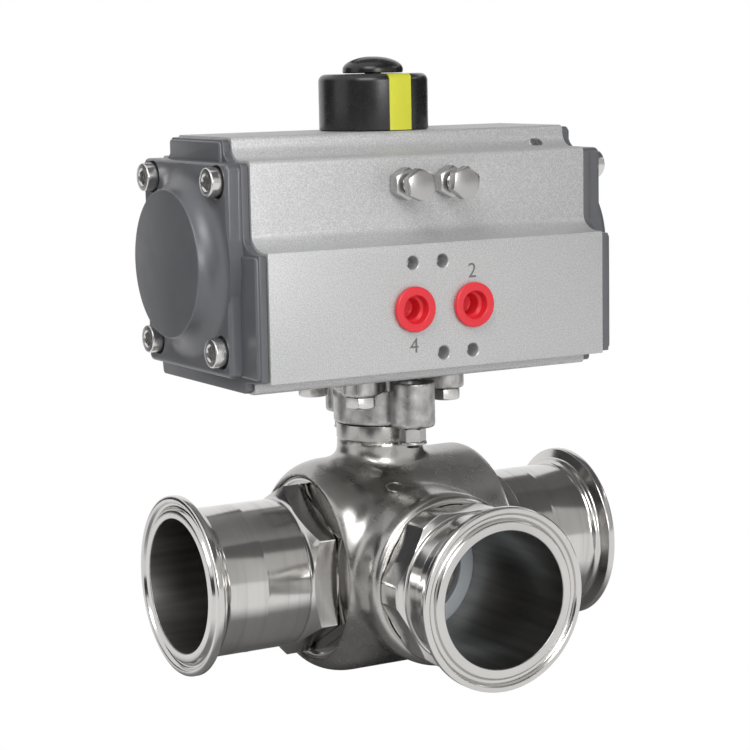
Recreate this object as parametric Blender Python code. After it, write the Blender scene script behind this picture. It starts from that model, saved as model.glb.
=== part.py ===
"""Pneumatic three-way ball valve: an L-port ball valve with clamp ferrules under a rack-and-pinion
actuator.

The origin is the centre of the ball, where the three pipe axes meet. +X is the right run port, -Y the
branch port at the front and +Z the stem axis. All sizes below are in millimetres; meshes are in metres.
"""
import bmesh
import bpy
from math import acos, asin, atan2, cos, degrees, pi, radians, sin, sqrt, tan
from mathutils import Matrix, Vector

MM = 0.001

# Clearances
GAP = 0.3            # between pieces that touch on the real valve
RUNNING = 0.3        # between pieces that slide or turn on each other
SEAL_GAP = 0.15      # between a soft seal and its bore
BACKLASH = 0.4       # between the flanks of pinion and rack

# Facets round a full circle
FINE = 24
MEDIUM = 18
COARSE = 12
SMALL = 8

# Pipe ends
TUBE_R = 26.5                      # outside of the pipes, the size that the valve is built round
TUBE_WALL = 2.6
TUBE_BORE_R = TUBE_R - TUBE_WALL
HUB_R = TUBE_R + 1.5
HUB_LENGTH = 1.6
FERRULE_R = HUB_R + 4.0
FERRULE_LAND = 2.8
FERRULE_TAPER = 20.0
GROOVE_R = FERRULE_R - 3.5
GROOVE_WIDTH = 2.8
GROOVE_DEPTH = 1.5

# Ball, seats and ports
SEAT_BACK = TUBE_R - 1.5
BALL_R = SEAT_BACK + 3.5
PORT_SHARE = 0.658                 # of the ball's radius; an L port has to stay under 0.7
PORT_R = BALL_R * PORT_SHARE
BALL_SLOT_WIDTH = 8.0
BALL_SLOT_DEPTH = 6.5
SEAT_MITRE = 0.25                  # how far each seat's 45 degree edge stays from the mitre plane
CAVITY_CLEARANCE = 0.7
RING_SECTION = 1.4                 # thickness of the round seals

# Run caps and the ends of the body that they screw into
HEX_FLATS = 2 * TUBE_R + 1.0
HEX_CORNER_R = TUBE_R + 4.7
NOSE_R = TUBE_R - 0.5
RUN_SEAT = SEAT_BACK + 2.0         # floor of the body's counterbore, where the cap screws home
RUN_THREAD_R = NOSE_R + 7.4
RUN_THREAD_END = RUN_SEAT + 4.2
RUN_RELIEF = RUN_SEAT + 2.6
RUN_RELIEF_R = RUN_THREAD_R - 1.8
RUN_HEX_END = RUN_SEAT + 14.0
RUN_HEX_CHAMFER = 2.0
RUN_GROOVE = RUN_SEAT + 6.4
RUN_GROOVE_WIDTH = 0.8
RUN_FACE = RUN_HEX_END + 42.2
GASKET_LOW_R = RUN_THREAD_R - 3.4
GASKET_HIGH_R = RUN_THREAD_R - 1.0
GASKET_HEIGHT = 0.9

# Branch cap and boss
BRANCH_STEP = SEAT_BACK + 9.3
BRANCH_JOINT = BRANCH_STEP + 13.8
BRANCH_FACE = BRANCH_JOINT + 34.5
BRANCH_THREAD_R = NOSE_R + 1.3
BRANCH_GASKET = 1.1
BRANCH_COLLAR_R = TUBE_R + 2.8
BRANCH_COLLAR_END = BRANCH_JOINT + 12.6
BRANCH_SHOULDER_END = BRANCH_COLLAR_END + 1.3
BOSS_R = BRANCH_THREAD_R + 3.9
BOSS_FLARE = 1.0
BOSS_END_R = BOSS_R - 2.7
BOSS_ROUND = 5.0

# Stem and its packing
STEM_R = 9.0
STEM_COLLAR_R = STEM_R + 2.5
STEM_COLLAR_BASE = BALL_R + 1.0
STEM_COLLAR_TOP = STEM_COLLAR_BASE + 3.5
STEM_SQUARE = 2 * STEM_R - 4.4
THRUST_WASHER = 1.4
BODY_SHOULDER = 5.0
PACKING_R = STEM_R + 3.7
PACKING_HEIGHT = 5.6
GLAND_HEIGHT = 3.8
DISC_SPRING_HEIGHT = 1.8
STEM_NUT_FLATS = 2 * STEM_R + 6.0
STEM_NUT_HEIGHT = 6.0

# Valve body
BARREL_R = BALL_R + 10.5
BARREL_END_R = BARREL_R - 8.0
BARREL_ROUND = 14.0
BARREL_END = RUN_SEAT + 5.9
BARREL_START = BARREL_END - 13.1
BARREL_END_EDGE_R = RUN_THREAD_R + 0.7
NECK_RING_R = PACKING_R + 3.1
NECK_R = NECK_RING_R + 0.2
NECK_TOP = BARREL_R + 6.3
NECK_FLARE = 3.2
NECK_RING_TOP = NECK_TOP + 5.9
EAR_R = 4.4
EAR_BASE = BARREL_R - 11.0

# Mounting bracket
BRACKET_BASE = NECK_RING_TOP + GAP
BRACKET_HEIGHT = 18.6
BRACKET_BORE_R = STEM_R + 6.0
BRACKET_TUBE_R = BRACKET_BORE_R + 1.7
EAR_Y = BRACKET_TUBE_R + 7.3
PLATE_THICKNESS = 6.1
PLATE_TOP = BRACKET_BASE + BRACKET_HEIGHT
PLATE_BASE = PLATE_TOP - PLATE_THICKNESS
LOBE_R = 6.8
BOLT_CIRCLE_R = BRACKET_TUBE_R + 8.3
PLATE_HUB_R = BRACKET_TUBE_R + 1.7
BRACKET_BOSS_R = 8.0
BRACKET_BOSS_BASE = BRACKET_BASE + 0.5
BRACKET_BOSS_TOP = PLATE_TOP - 2.1
COUNTERBORE_R = 5.2
COUNTERBORE_FLOOR = BRACKET_BOSS_BASE + 6.0
M6_R = 3.0
M6_FLATS = 10.0
M6_HEAD = 4.0
M5_R = 2.5
M5_SOCKET_HEAD_R = COUNTERBORE_R - 0.95
M5_SOCKET_HEAD = 5.0
M5_NUT_FLATS = 8.0
M5_NUT_FLANGE_R = M5_NUT_FLATS / 2 + 0.7
M5_NUT_FLANGE = 1.1

# Actuator housing, its bore and what lies round it
HOUSING_LENGTH = 135.8
HOUSING_BASE = PLATE_TOP + GAP
BORE_R = 31.5
BORE_Z = HOUSING_BASE + BORE_R + 11.9
SIDE_Y = BORE_R + 2.8
BLOCK_Y = SIDE_Y + 11.5
BLOCK_BASE = HOUSING_BASE + 4.8
BLOCK_TOP = BORE_Z + 5.6
BASE_LIP_Y = SIDE_Y - 0.5
COVE_START = BLOCK_TOP + 5.6
CAP_SCREW_Y = BORE_R - 6.0
CAP_SCREW_Z = BORE_R - 2.7
CAP_BLOCK_Y = CAP_SCREW_Y + 7.5
CAP_BLOCK_BASE = BORE_Z - CAP_SCREW_Z - 8.5
CAP_BLOCK_TOP = BORE_Z + CAP_SCREW_Z + 6.4
SHOULDER_Z = CAP_BLOCK_TOP + 0.6
HOUSING_TOP = SHOULDER_Z + 7.6
INDICATOR_R = 19.65
RIDGE_Y = INDICATOR_R + 1.45
COVE_R = 5.5
EDGE_ROUND = 1.6

# Air ports, with the screw pattern round them, and their plugs
PORT_X = 12.0
PORT_Z = BORE_Z - 16.9
PORT_HOLE_R = 5.9
PLUG_STEM = 8.5
PORT_HOLE_DEPTH = PLUG_STEM + 2.5
PASSAGE_R = 2.2
PAD_X = 12.0
PAD_Z = 16.0
PAD_HOLE_R = 2.35
PAD_HOLE_DEPTH = 7.0
PLUG_STEM_R = PORT_HOLE_R - GAP
PLUG_FLANGE_R = PORT_HOLE_R + 2.0
PLUG_FLANGE = 1.6
PLUG_HOLE_R = PLUG_STEM_R - 0.7
PLUG_INNER_R = PLUG_HOLE_R - 1.25

# End caps of the actuator
HOUSING_END = HOUSING_LENGTH / 2
CAP_FLANGE = 2.8
CAP_START = HOUSING_END + GAP
CAP_STEP = CAP_START + CAP_FLANGE
CAP_INSET = 0.7
CAP_FACE = CAP_STEP + 5.3
CAP_BLOCK_ROUND = 2.2
CAP_LEDGE = 1.1                    # height of the raised wing, rail and tab on the flange
DOME_FACE = CAP_FACE + 7.7
DOME_R = BORE_R - 5.8
DOME_BASE_R = BORE_R + 2.9
SPIGOT_LENGTH = 6.0
SPIGOT_BORE_R = BORE_R - 4.5
CAP_SCREW_R = 3.0
CAP_SCREW_HEAD_R = 5.0
CAP_SCREW_HEAD = 6.0
CAP_SCREW_FLOOR = CAP_STEP + 3.0
CAP_SCREW_LENGTH = 20.0
POCKET_R = CAP_SCREW_HEAD_R + 0.7

# Pinion and pistons
GEAR_MODULE = 1.5
GEAR_TEETH = 16
PRESSURE_ANGLE = 20.0
PITCH_R = GEAR_MODULE * GEAR_TEETH / 2
STROKE = PITCH_R * pi / 2
TOOTH_HEIGHT = 28.0
TOOTH_TOP = BORE_Z + TOOTH_HEIGHT / 2
TOOTH_BASE = BORE_Z - TOOTH_HEIGHT / 2
RACK_TEETH = 7
PISTON_INNER = STROKE + 5.95
PISTON_THICKNESS = 12.0
PISTON_SEAL_OFFSET = 7.5
LEG_HALF_HEIGHT = TOOTH_HEIGHT / 2 - 0.7
PINION_BASE = HOUSING_BASE + GAP
PINION_LOWER_R = PITCH_R - 0.5
PINION_UPPER_R = PITCH_R - 1.4
PINION_TOP_R = PITCH_R - 3.4
PINION_TOP = HOUSING_TOP + 14.8
SOCKET_DEPTH = 17.0
STEM_SQUARE_BASE = NECK_RING_TOP + 10.8
STEM_TOP = PINION_BASE + SOCKET_DEPTH - 1.7
CAM_POCKET_TOP = HOUSING_TOP - 13.6
CAM_BASE = CAM_POCKET_TOP - 6.6
CAM_THICKNESS = 5.4
CAM_TOP = CAM_BASE + CAM_THICKNESS
CAM_FACE = PINION_UPPER_R + 1.9
CAM_R = CAM_FACE + 5.5
CAM_HEX = 2 * PINION_TOP_R + 0.2
CAM_POCKET_R = CAM_R + 0.9
BUSH_WALL = 2.3
CLIP_HEIGHT = 1.2
CLIP_R = PINION_TOP_R + 3.0

# Stop bolts
STOP_X = CAM_R / 2
STOP_Z = CAM_BASE + 2.5
STOP_HEAD_START = SIDE_Y + 9.9
STOP_NUT = 5.0

# Indicator
INDICATOR_BASE = HOUSING_TOP + GAP
INDICATOR_TOP = PINION_TOP + 5.2
INDICATOR_WALL = 2.8
INDICATOR_ROUND = 2.6
SLEEVE_WALL = 2.4
INSERT_WIDTH = 8.8
INSERT_THICKNESS = 1.1
DOME_SCREW_R = 10.9
DOME_SCREW_HEIGHT = 6.0
DOME_SLOT = 2.0

# Values that follow from the ones above
CAVITY_R = BALL_R + CAVITY_CLEARANCE
SEAT_BORE_R = PORT_R
SEAT_R = SEAT_BACK - SEAT_MITRE
SEAT_POCKET_R = SEAT_R + GAP
NOSE = SEAT_BACK + GAP
NOSE_TIP_R = NOSE - SEAT_MITRE
RUN_PLUG = RUN_SEAT + GAP
GASKET_START = RUN_SEAT + GAP
GASKET_FLOOR = GASKET_START + GASKET_HEIGHT + GAP / 2
BRANCH_PLUG = BRANCH_STEP + BRANCH_GASKET + 2 * GAP
WASHER_BASE = STEM_COLLAR_TOP + GAP
BODY_SHOULDER_BASE = WASHER_BASE + THRUST_WASHER + GAP
PACKING_BASE = BODY_SHOULDER_BASE + BODY_SHOULDER + GAP
GLAND_BASE = PACKING_BASE + PACKING_HEIGHT + GAP
DISC_BASE = GLAND_BASE + GLAND_HEIGHT + GAP
STEM_NUT_BASE = DISC_BASE + DISC_SPRING_HEIGHT + GAP
PACKING_CHAMBER_R = PACKING_R + GAP
LOWER_BUSH_R = PINION_LOWER_R + RUNNING + BUSH_WALL
UPPER_BUSH_R = PINION_TOP_R + RUNNING + BUSH_WALL

# Colours and finish: linear RGB, metallic, roughness
MATERIALS = {
    "polished_steel": ((0.56, 0.55, 0.53), 1.0, 0.16),
    "satin_steel": ((0.50, 0.49, 0.47), 1.0, 0.34),
    "cast_steel": ((0.48, 0.47, 0.45), 1.0, 0.42),
    "steel_fastener": ((0.52, 0.52, 0.51), 1.0, 0.28),
    "anodised_aluminium": ((0.55, 0.55, 0.53), 0.55, 0.55),
    "grey_paint": ((0.138, 0.140, 0.150), 0.1, 0.42),
    "cast_aluminium": ((0.50, 0.50, 0.50), 1.0, 0.40),
    "ptfe": ((0.72, 0.74, 0.76), 0.0, 0.45),
    "black_rubber": ((0.02, 0.02, 0.02), 0.0, 0.60),
    "black_plastic": ((0.018, 0.018, 0.019), 0.0, 0.32),
    "yellow_plastic": ((0.62, 0.62, 0.09), 0.0, 0.38),
    "red_plastic": ((0.80, 0.045, 0.055), 0.0, 0.35),
    "acetal": ((0.70, 0.69, 0.64), 0.0, 0.45),
    "spring_steel": ((0.20, 0.20, 0.20), 1.0, 0.38),
}

# Directions that a profile's own +Z can be turned to
TO_AXIS = {
    "+Z": Matrix.Identity(4),
    "-Z": Matrix.Rotation(pi, 4, "X"),
    "+X": Matrix.Rotation(pi / 2, 4, "Y"),
    "-X": Matrix.Rotation(-pi / 2, 4, "Y"),
    "-Y": Matrix.Rotation(pi / 2, 4, "X"),
    "+Y": Matrix.Rotation(-pi / 2, 4, "X"),
}


def clear_scene():
    for old in list(bpy.data.objects):
        bpy.data.objects.remove(old, do_unlink=True)


def material(name):
    found = bpy.data.materials.get(name)
    if found:
        return found
    colour, metallic, roughness = MATERIALS[name]
    made = bpy.data.materials.new(name)
    made.use_nodes = True
    shader = made.node_tree.nodes["Principled BSDF"]
    shader.inputs["Base Color"].default_value = (*colour, 1.0)
    shader.inputs["Metallic"].default_value = metallic
    shader.inputs["Roughness"].default_value = roughness
    return made


def mesh_object(name, bm, finish="satin_steel", axis="+Z", at=(0, 0, 0)):
    """Turn a bmesh in millimetres into an object in metres, its faces pointing out."""
    bmesh.ops.remove_doubles(bm, verts=bm.verts, dist=0.0005)
    bmesh.ops.dissolve_limit(bm, angle_limit=radians(0.05), verts=bm.verts, edges=bm.edges)
    bmesh.ops.transform(bm, matrix=Matrix.Scale(MM, 4) @ TO_AXIS[axis], verts=bm.verts)
    bmesh.ops.recalc_face_normals(bm, faces=bm.faces)
    mesh = bpy.data.meshes.new(name)
    bm.to_mesh(mesh)
    bm.free()
    mesh.shade_smooth()
    mesh.set_sharp_from_angle(angle=radians(32))
    made = bpy.data.objects.new(name, mesh)
    made.location = Vector(at) * MM
    made.data.materials.append(material(finish))
    bpy.context.collection.objects.link(made)
    return made


def lathe(name, profile, finish="satin_steel", axis="+Z", at=(0, 0, 0), facets=MEDIUM):
    """Spin a closed outline of (radius, height) points round the axis."""
    bm = bmesh.new()
    points = [bm.verts.new((radius, 0.0, height)) for radius, height in profile]
    edges = [bm.edges.new(pair) for pair in zip(points, points[1:] + points[:1])
             if pair[0].co.x > 0 or pair[1].co.x > 0]
    bmesh.ops.spin(bm, geom=points + edges, cent=(0, 0, 0), axis=(0, 0, 1), angle=2 * pi,
                   steps=facets, use_merge=True, use_duplicate=False)
    return mesh_object(name, bm, finish, axis, at)


def prism(name, outline, low, high, finish="satin_steel", axis="+Z", at=(0, 0, 0)):
    """Extrude a closed outline of (x, y) points from low to high along the axis."""
    bm = bmesh.new()
    face = bm.faces.new([bm.verts.new((x, y, low)) for x, y in outline])
    side = bmesh.ops.extrude_face_region(bm, geom=[face])
    top = [item for item in side["geom"] if isinstance(item, bmesh.types.BMVert)]
    bmesh.ops.translate(bm, verts=top, vec=(0, 0, high - low))
    return mesh_object(name, bm, finish, axis, at)


def rod(name, radius, low, high, finish="satin_steel", axis="+Z", at=(0, 0, 0), facets=COARSE):
    return lathe(name, [(0, low), (radius, low), (radius, high), (0, high)], finish, axis, at, facets)


def tube(name, inner, outer, low, high, finish="satin_steel", axis="+Z", at=(0, 0, 0), facets=MEDIUM):
    outline = [(inner, low), (outer, low), (outer, high), (inner, high)]
    return lathe(name, outline, finish, axis, at, facets)


def arc(centre, radius, start, end, steps):
    """Points on an arc, in degrees, both ends included. radius may be a pair for an ellipse."""
    wide, high = radius if isinstance(radius, tuple) else (radius, radius)
    turns = [radians(start + (end - start) * i / steps) for i in range(steps + 1)]
    return [(centre[0] + wide * cos(t), centre[1] + high * sin(t)) for t in turns]


def hexagon(flats, turn=0.0):
    """Corners of a hexagon, the first at the given angle."""
    return [(flats / sqrt(3) * cos(radians(turn + 60 * i)), flats / sqrt(3) * sin(radians(turn + 60 * i)))
            for i in range(6)]


def combine(target, tool, operation="DIFFERENCE"):
    """Apply a Boolean to the target and remove the tool."""
    step = target.modifiers.new("combine", "BOOLEAN")
    step.operation = operation
    step.solver = "EXACT"
    step.object = tool
    bpy.context.view_layer.update()
    evaluated = target.evaluated_get(bpy.context.evaluated_depsgraph_get())
    result = bpy.data.meshes.new_from_object(evaluated)
    target.modifiers.clear()
    target.data = result
    bm = bmesh.new()
    bm.from_mesh(result)
    bmesh.ops.remove_doubles(bm, verts=bm.verts, dist=MM * 0.002)
    bmesh.ops.dissolve_limit(bm, angle_limit=radians(0.05), verts=bm.verts, edges=bm.edges)
    bm.to_mesh(result)
    bm.free()
    bpy.data.objects.remove(tool, do_unlink=True)
    result.shade_smooth()
    result.set_sharp_from_angle(angle=radians(32))
    return target


def cut(target, *tools):
    for tool in tools:
        combine(target, tool)
    return target


def join(target, *tools):
    for tool in tools:
        combine(target, tool, "UNION")
    return target


def empty(name, at):
    made = bpy.data.objects.new(name, None)
    made.location = Vector(at) * MM
    bpy.context.collection.objects.link(made)
    return made


def carry(carrier, *pieces):
    """Parent pieces to the empty on their joint's axis, without moving them."""
    for piece in pieces:
        piece.location = piece.location - carrier.location
        piece.parent = carrier


def hexagon_collar(profile, axis, turn):
    """A turned collar with six flats: the lathe profile cut down to a hexagon bar."""
    collar = lathe("collar", profile, axis=axis, facets=FINE)
    low = min(height for radius, height in profile) - 1
    high = max(height for radius, height in profile) + 1
    bar = prism("bar", hexagon(HEX_FLATS, turn), low, high, axis=axis)
    return combine(collar, bar, "INTERSECT")


def ferrule(face):
    """The outer end of a pipe end's profile, from the tube to the bore at the sealing face."""
    taper = (FERRULE_R - HUB_R) * tan(radians(FERRULE_TAPER))
    hub_end = face - FERRULE_LAND - taper
    groove_low = GROOVE_R - GROOVE_WIDTH / 2
    groove_high = GROOVE_R + GROOVE_WIDTH / 2
    floor = GROOVE_WIDTH / 4
    return [
        (TUBE_R, hub_end - HUB_LENGTH - 0.8),
        (HUB_R, hub_end - HUB_LENGTH),
        (HUB_R, hub_end),
        (FERRULE_R, face - FERRULE_LAND),
        (FERRULE_R, face - 0.5),
        (FERRULE_R - 0.5, face),
        (groove_high, face),
        (GROOVE_R + floor, face - GROOVE_DEPTH),
        (GROOVE_R - floor, face - GROOVE_DEPTH),
        (groove_low, face),
        (TUBE_BORE_R, face),
    ]


def ring_seal(name, radius, middle, finish="black_rubber", axis="+Z", at=(0, 0, 0)):
    """A round seal whose outside lies just inside the bore that it seals."""
    half = RING_SECTION / 2
    section = arc((radius - half, middle), half, 0, 288, 4)
    return lathe(name, section, finish, axis, at, FINE)


# Valve

def valve_body():
    """Cast body: the barrel along the run, the branch boss, the neck with its two ears."""
    crest = degrees(asin((BARREL_END - 0.5 - BARREL_START) / BARREL_ROUND))
    side = arc((BARREL_END_R, BARREL_START), (BARREL_R - BARREL_END_R, BARREL_ROUND), 0, crest, 4)
    side += [(BARREL_END_EDGE_R, BARREL_END)]
    profile = [(radius, -height) for radius, height in reversed(side)] + side
    profile = [(0, -BARREL_END)] + profile + [(0, BARREL_END)]
    body = lathe("valve_body", profile, "polished_steel", "+X", facets=FINE)

    rim = arc((BOSS_END_R, BRANCH_JOINT - BOSS_ROUND), (BOSS_R - BOSS_END_R, BOSS_ROUND), 0, 90, 3)
    foot = arc((BOSS_R + BOSS_FLARE, BARREL_R + 2.0), (BOSS_FLARE, 5.5), 270, 180, 2)
    boss = lathe("boss", [(0, 10), (BOSS_R + BOSS_FLARE, 10)] + foot + rim + [(0, BRANCH_JOINT)],
                 axis="-Y", facets=FINE)

    foot = arc((NECK_R + NECK_FLARE, BARREL_R + NECK_FLARE), NECK_FLARE, 270, 180, 2)
    neck = lathe("neck", [(0, 20), (NECK_R + NECK_FLARE, 20)] + foot + [
        (NECK_R, NECK_TOP - 0.4), (NECK_RING_R - 0.4, NECK_TOP), (NECK_RING_R, NECK_TOP + 0.4),
        (NECK_RING_R, NECK_RING_TOP), (0, NECK_RING_TOP)], facets=FINE)
    join(body, boss, neck)
    for side in (-1, 1):
        lobe = arc((0, EAR_Y), EAR_R, 0, 180, 8)
        outline = [(x, side * y) for x, y in lobe + [(-EAR_R, 10.0), (EAR_R, 10.0)]]
        join(body, prism("ear", outline, EAR_BASE, NECK_TOP))

    half = [(CAVITY_R, RUN_SEAT), (RUN_THREAD_R + GAP / 2, RUN_SEAT), (RUN_THREAD_R + GAP / 2, BARREL_END + 1)]
    cavity = [(0, -BARREL_END - 1)] + [(radius, -height) for radius, height in reversed(half)] + half
    cavity = lathe("cavity", cavity + [(0, BARREL_END + 1)], axis="+X", facets=FINE)
    branch = lathe("branch", [(0, 1), (NOSE_R + GAP, 1), (NOSE_R + GAP, BRANCH_STEP),
                              (BRANCH_THREAD_R + GAP, BRANCH_STEP),
                              (BRANCH_THREAD_R + GAP, BRANCH_JOINT + 1), (0, BRANCH_JOINT + 1)],
                   axis="-Y", facets=FINE)
    blind = rod("blind", SEAT_POCKET_R, 0, NOSE, axis="+Y", facets=FINE)
    stem_hole = lathe("stem_hole", [
        (0, BALL_R - 5), (STEM_COLLAR_R + GAP, BALL_R - 5), (STEM_COLLAR_R + GAP, BODY_SHOULDER_BASE),
        (STEM_R + RUNNING, BODY_SHOULDER_BASE), (STEM_R + RUNNING, PACKING_BASE - GAP),
        (PACKING_CHAMBER_R, PACKING_BASE - GAP), (PACKING_CHAMBER_R, NECK_RING_TOP + 1),
        (0, NECK_RING_TOP + 1)], facets=MEDIUM)
    cut(body, cavity, branch, blind, stem_hole)
    for side in (-1, 1):
        cut(body, rod("ear_hole", M5_R + GAP, EAR_BASE + 8, NECK_TOP + 1, at=(0, side * EAR_Y, 0),
                      facets=SMALL))
    return body


def run_cap(name, axis):
    """Screwed run end: nose behind the seat, threaded plug, hexagon, tube and clamp ferrule."""
    inside = TUBE_R - 1
    groove_end = RUN_GROOVE + RUN_GROOVE_WIDTH
    profile = [(TUBE_BORE_R, NOSE), (NOSE_TIP_R, NOSE), (NOSE_R, NOSE + NOSE_R - NOSE_TIP_R), (NOSE_R, RUN_PLUG),
               (GASKET_LOW_R - GAP, RUN_PLUG), (GASKET_LOW_R - GAP, GASKET_FLOOR),
               (GASKET_HIGH_R + GAP, GASKET_FLOOR), (GASKET_HIGH_R + GAP, RUN_PLUG),
               (RUN_THREAD_R, RUN_PLUG), (RUN_THREAD_R, RUN_THREAD_END), (RUN_RELIEF_R, RUN_THREAD_END),
               (RUN_RELIEF_R, RUN_RELIEF), (TUBE_R - 0.1, RUN_RELIEF), (TUBE_R - 0.1, RUN_HEX_END + 3),
               (TUBE_R, RUN_HEX_END + 3.5)]
    cap = lathe(name, profile + ferrule(RUN_FACE), "polished_steel", axis, facets=FINE)
    flat_r = HEX_FLATS / 2
    collar = [(inside, RUN_RELIEF - 0.6), (HEX_CORNER_R, RUN_RELIEF - 0.6), (HEX_CORNER_R, RUN_GROOVE),
              (inside + 0.2, RUN_GROOVE), (inside + 0.2, groove_end), (HEX_CORNER_R, groove_end),
              (HEX_CORNER_R, RUN_HEX_END), (flat_r, RUN_HEX_END + RUN_HEX_CHAMFER),
              (inside, RUN_HEX_END + RUN_HEX_CHAMFER + 0.6)]
    return join(cap, hexagon_collar(collar, axis, 0))


def run_gasket(name, axis):
    return tube(name, GASKET_LOW_R, GASKET_HIGH_R, GASKET_START, GASKET_START + GASKET_HEIGHT, "ptfe", axis,
                facets=FINE)


def branch_cap():
    """Screwed branch end, with its collar turned round and six narrow flats."""
    start = BRANCH_JOINT + GAP
    flat_r = HEX_FLATS / 2
    inside = TUBE_R - 1
    profile = [(TUBE_BORE_R, NOSE), (NOSE_TIP_R, NOSE), (NOSE_R, NOSE + NOSE_R - NOSE_TIP_R),
               (NOSE_R, BRANCH_PLUG), (BRANCH_THREAD_R, BRANCH_PLUG), (BRANCH_THREAD_R, start + 0.5),
               (TUBE_R - 0.1, start + 0.5), (TUBE_R - 0.1, BRANCH_SHOULDER_END),
               (TUBE_R, BRANCH_SHOULDER_END + 0.5)]
    cap = lathe("branch_pipe_cap", profile + ferrule(BRANCH_FACE), "polished_steel", "-Y", facets=FINE)
    collar = [(inside, start), (flat_r + 0.5, start), (BRANCH_COLLAR_R, start + 1.1),
              (BRANCH_COLLAR_R, BRANCH_COLLAR_END - 1.3), (flat_r, BRANCH_COLLAR_END),
              (TUBE_R + 0.1, BRANCH_SHOULDER_END - 0.5), (inside, BRANCH_SHOULDER_END - 0.2)]
    return join(cap, hexagon_collar(collar, "-Y", 0))


def branch_gasket():
    low = BRANCH_STEP + GAP
    return tube("branch_gasket", NOSE_R + GAP / 2, BRANCH_THREAD_R, low, low + BRANCH_GASKET, "ptfe", "-Y",
                facets=FINE)


def seat(name, axis):
    """Seat ring: a spherical face against the ball, its outside coned to clear the next seat."""
    face_r = BALL_R + GAP
    rim_angle = 45 + degrees(asin(SEAT_MITRE / face_r / sqrt(2)))
    bore_angle = degrees(acos(SEAT_BORE_R / face_r))
    face = arc((0, 0), face_r, rim_angle, bore_angle, 2)
    profile = face + [(SEAT_BORE_R, SEAT_BACK), (SEAT_R, SEAT_BACK)]
    return lathe(name, profile, "ptfe", axis, facets=FINE)


def elbow(radius, reach, facets):
    """The passage in the ball: two straight bores that meet at the centre, round on the outside."""
    turns = [2 * pi * i / facets for i in range(facets)]
    rings = [[(radius * cos(t), -reach, radius * sin(t)) for t in turns]]
    for step in range(5):
        bend = pi / 2 * step / 4
        ring = []
        for t in turns:
            across = radius * cos(t)
            if across > 0:
                ring.append((across, -across, radius * sin(t)))
            else:
                ring.append((across * cos(bend), -across * sin(bend), radius * sin(t)))
        rings.append(ring)
    rings.append([(reach, -radius * cos(t), radius * sin(t)) for t in turns])
    bm = bmesh.new()
    made = [[bm.verts.new(point) for point in ring] for ring in rings]
    for first, second in zip(made, made[1:]):
        for i in range(facets):
            j = (i + 1) % facets
            bm.faces.new((first[i], first[j], second[j], second[i]))
    bm.faces.new(made[0])
    bm.faces.new(made[-1])
    return mesh_object("elbow", bm)


def ball():
    """L-port ball: one passage from the branch to the right run port, and the stem's slot on top."""
    made = lathe("ball", arc((0, 0), BALL_R, -90, 90, 14), "polished_steel", facets=FINE)
    passage = elbow(PORT_R, BALL_R + 1, MEDIUM)
    half = BALL_SLOT_WIDTH / 2
    floor = BALL_R - BALL_SLOT_DEPTH
    slot = prism("slot", [(-20, -half), (20, -half), (20, half), (-20, half)], floor, BALL_R + 2)
    return cut(made, passage, slot)


def stem():
    """Stem: tang in the ball's slot, retaining collar, shaft and the square that the pinion drives."""
    shaft = lathe("stem", [(0, STEM_COLLAR_BASE), (STEM_COLLAR_R, STEM_COLLAR_BASE),
                           (STEM_COLLAR_R, STEM_COLLAR_TOP), (STEM_R, STEM_COLLAR_TOP),
                           (STEM_R, STEM_SQUARE_BASE), (0, STEM_SQUARE_BASE)], "satin_steel")
    half_tang = BALL_SLOT_WIDTH / 2 - GAP
    tang_base = BALL_R - BALL_SLOT_DEPTH + GAP
    reach = STEM_COLLAR_R - 1
    tang = prism("tang", [(-reach, -half_tang), (reach, -half_tang), (reach, half_tang), (-reach, half_tang)],
                 tang_base, STEM_COLLAR_BASE + 1)
    half = STEM_SQUARE / 2
    corner = half * 0.66
    outline = [(half, -corner), (half, corner), (corner, half), (-corner, half),
               (-half, corner), (-half, -corner), (-corner, -half), (corner, -half)]
    square = prism("square", outline, STEM_SQUARE_BASE - 1, STEM_TOP)
    return join(shaft, tang, square)


def stem_seals():
    """What holds and seals the stem: washer, packing, gland, disc spring and nut."""
    inner = STEM_R + GAP
    washer = tube("stem_thrust_washer", inner, STEM_COLLAR_R, WASHER_BASE, WASHER_BASE + THRUST_WASHER, "ptfe")
    vee = 1.2
    middle = (inner + PACKING_R) / 2
    packing = lathe("stem_packing", [
        (inner, PACKING_BASE), (middle, PACKING_BASE + vee), (PACKING_R, PACKING_BASE),
        (PACKING_R, PACKING_BASE + PACKING_HEIGHT - vee), (middle, PACKING_BASE + PACKING_HEIGHT),
        (inner, PACKING_BASE + PACKING_HEIGHT - vee)], "ptfe")
    gland = lathe("gland_ring", [
        (inner, GLAND_BASE), (middle, GLAND_BASE), (PACKING_R, GLAND_BASE),
        (PACKING_R, GLAND_BASE + GLAND_HEIGHT), (inner, GLAND_BASE + GLAND_HEIGHT)])
    sheet = DISC_SPRING_HEIGHT * 0.55
    top = DISC_BASE + DISC_SPRING_HEIGHT
    spring = lathe("disc_spring", [(inner, top - sheet), (PACKING_R, DISC_BASE), (PACKING_R, DISC_BASE + sheet),
                                   (inner, top)], "spring_steel")
    nut = prism("stem_nut", hexagon(STEM_NUT_FLATS), STEM_NUT_BASE, STEM_NUT_BASE + STEM_NUT_HEIGHT,
                "steel_fastener")
    cut(nut, rod("nut_hole", inner, STEM_NUT_BASE - 1, STEM_NUT_BASE + STEM_NUT_HEIGHT + 1, facets=MEDIUM))
    return washer, packing, gland, spring, nut


# Bracket and its fasteners

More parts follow.
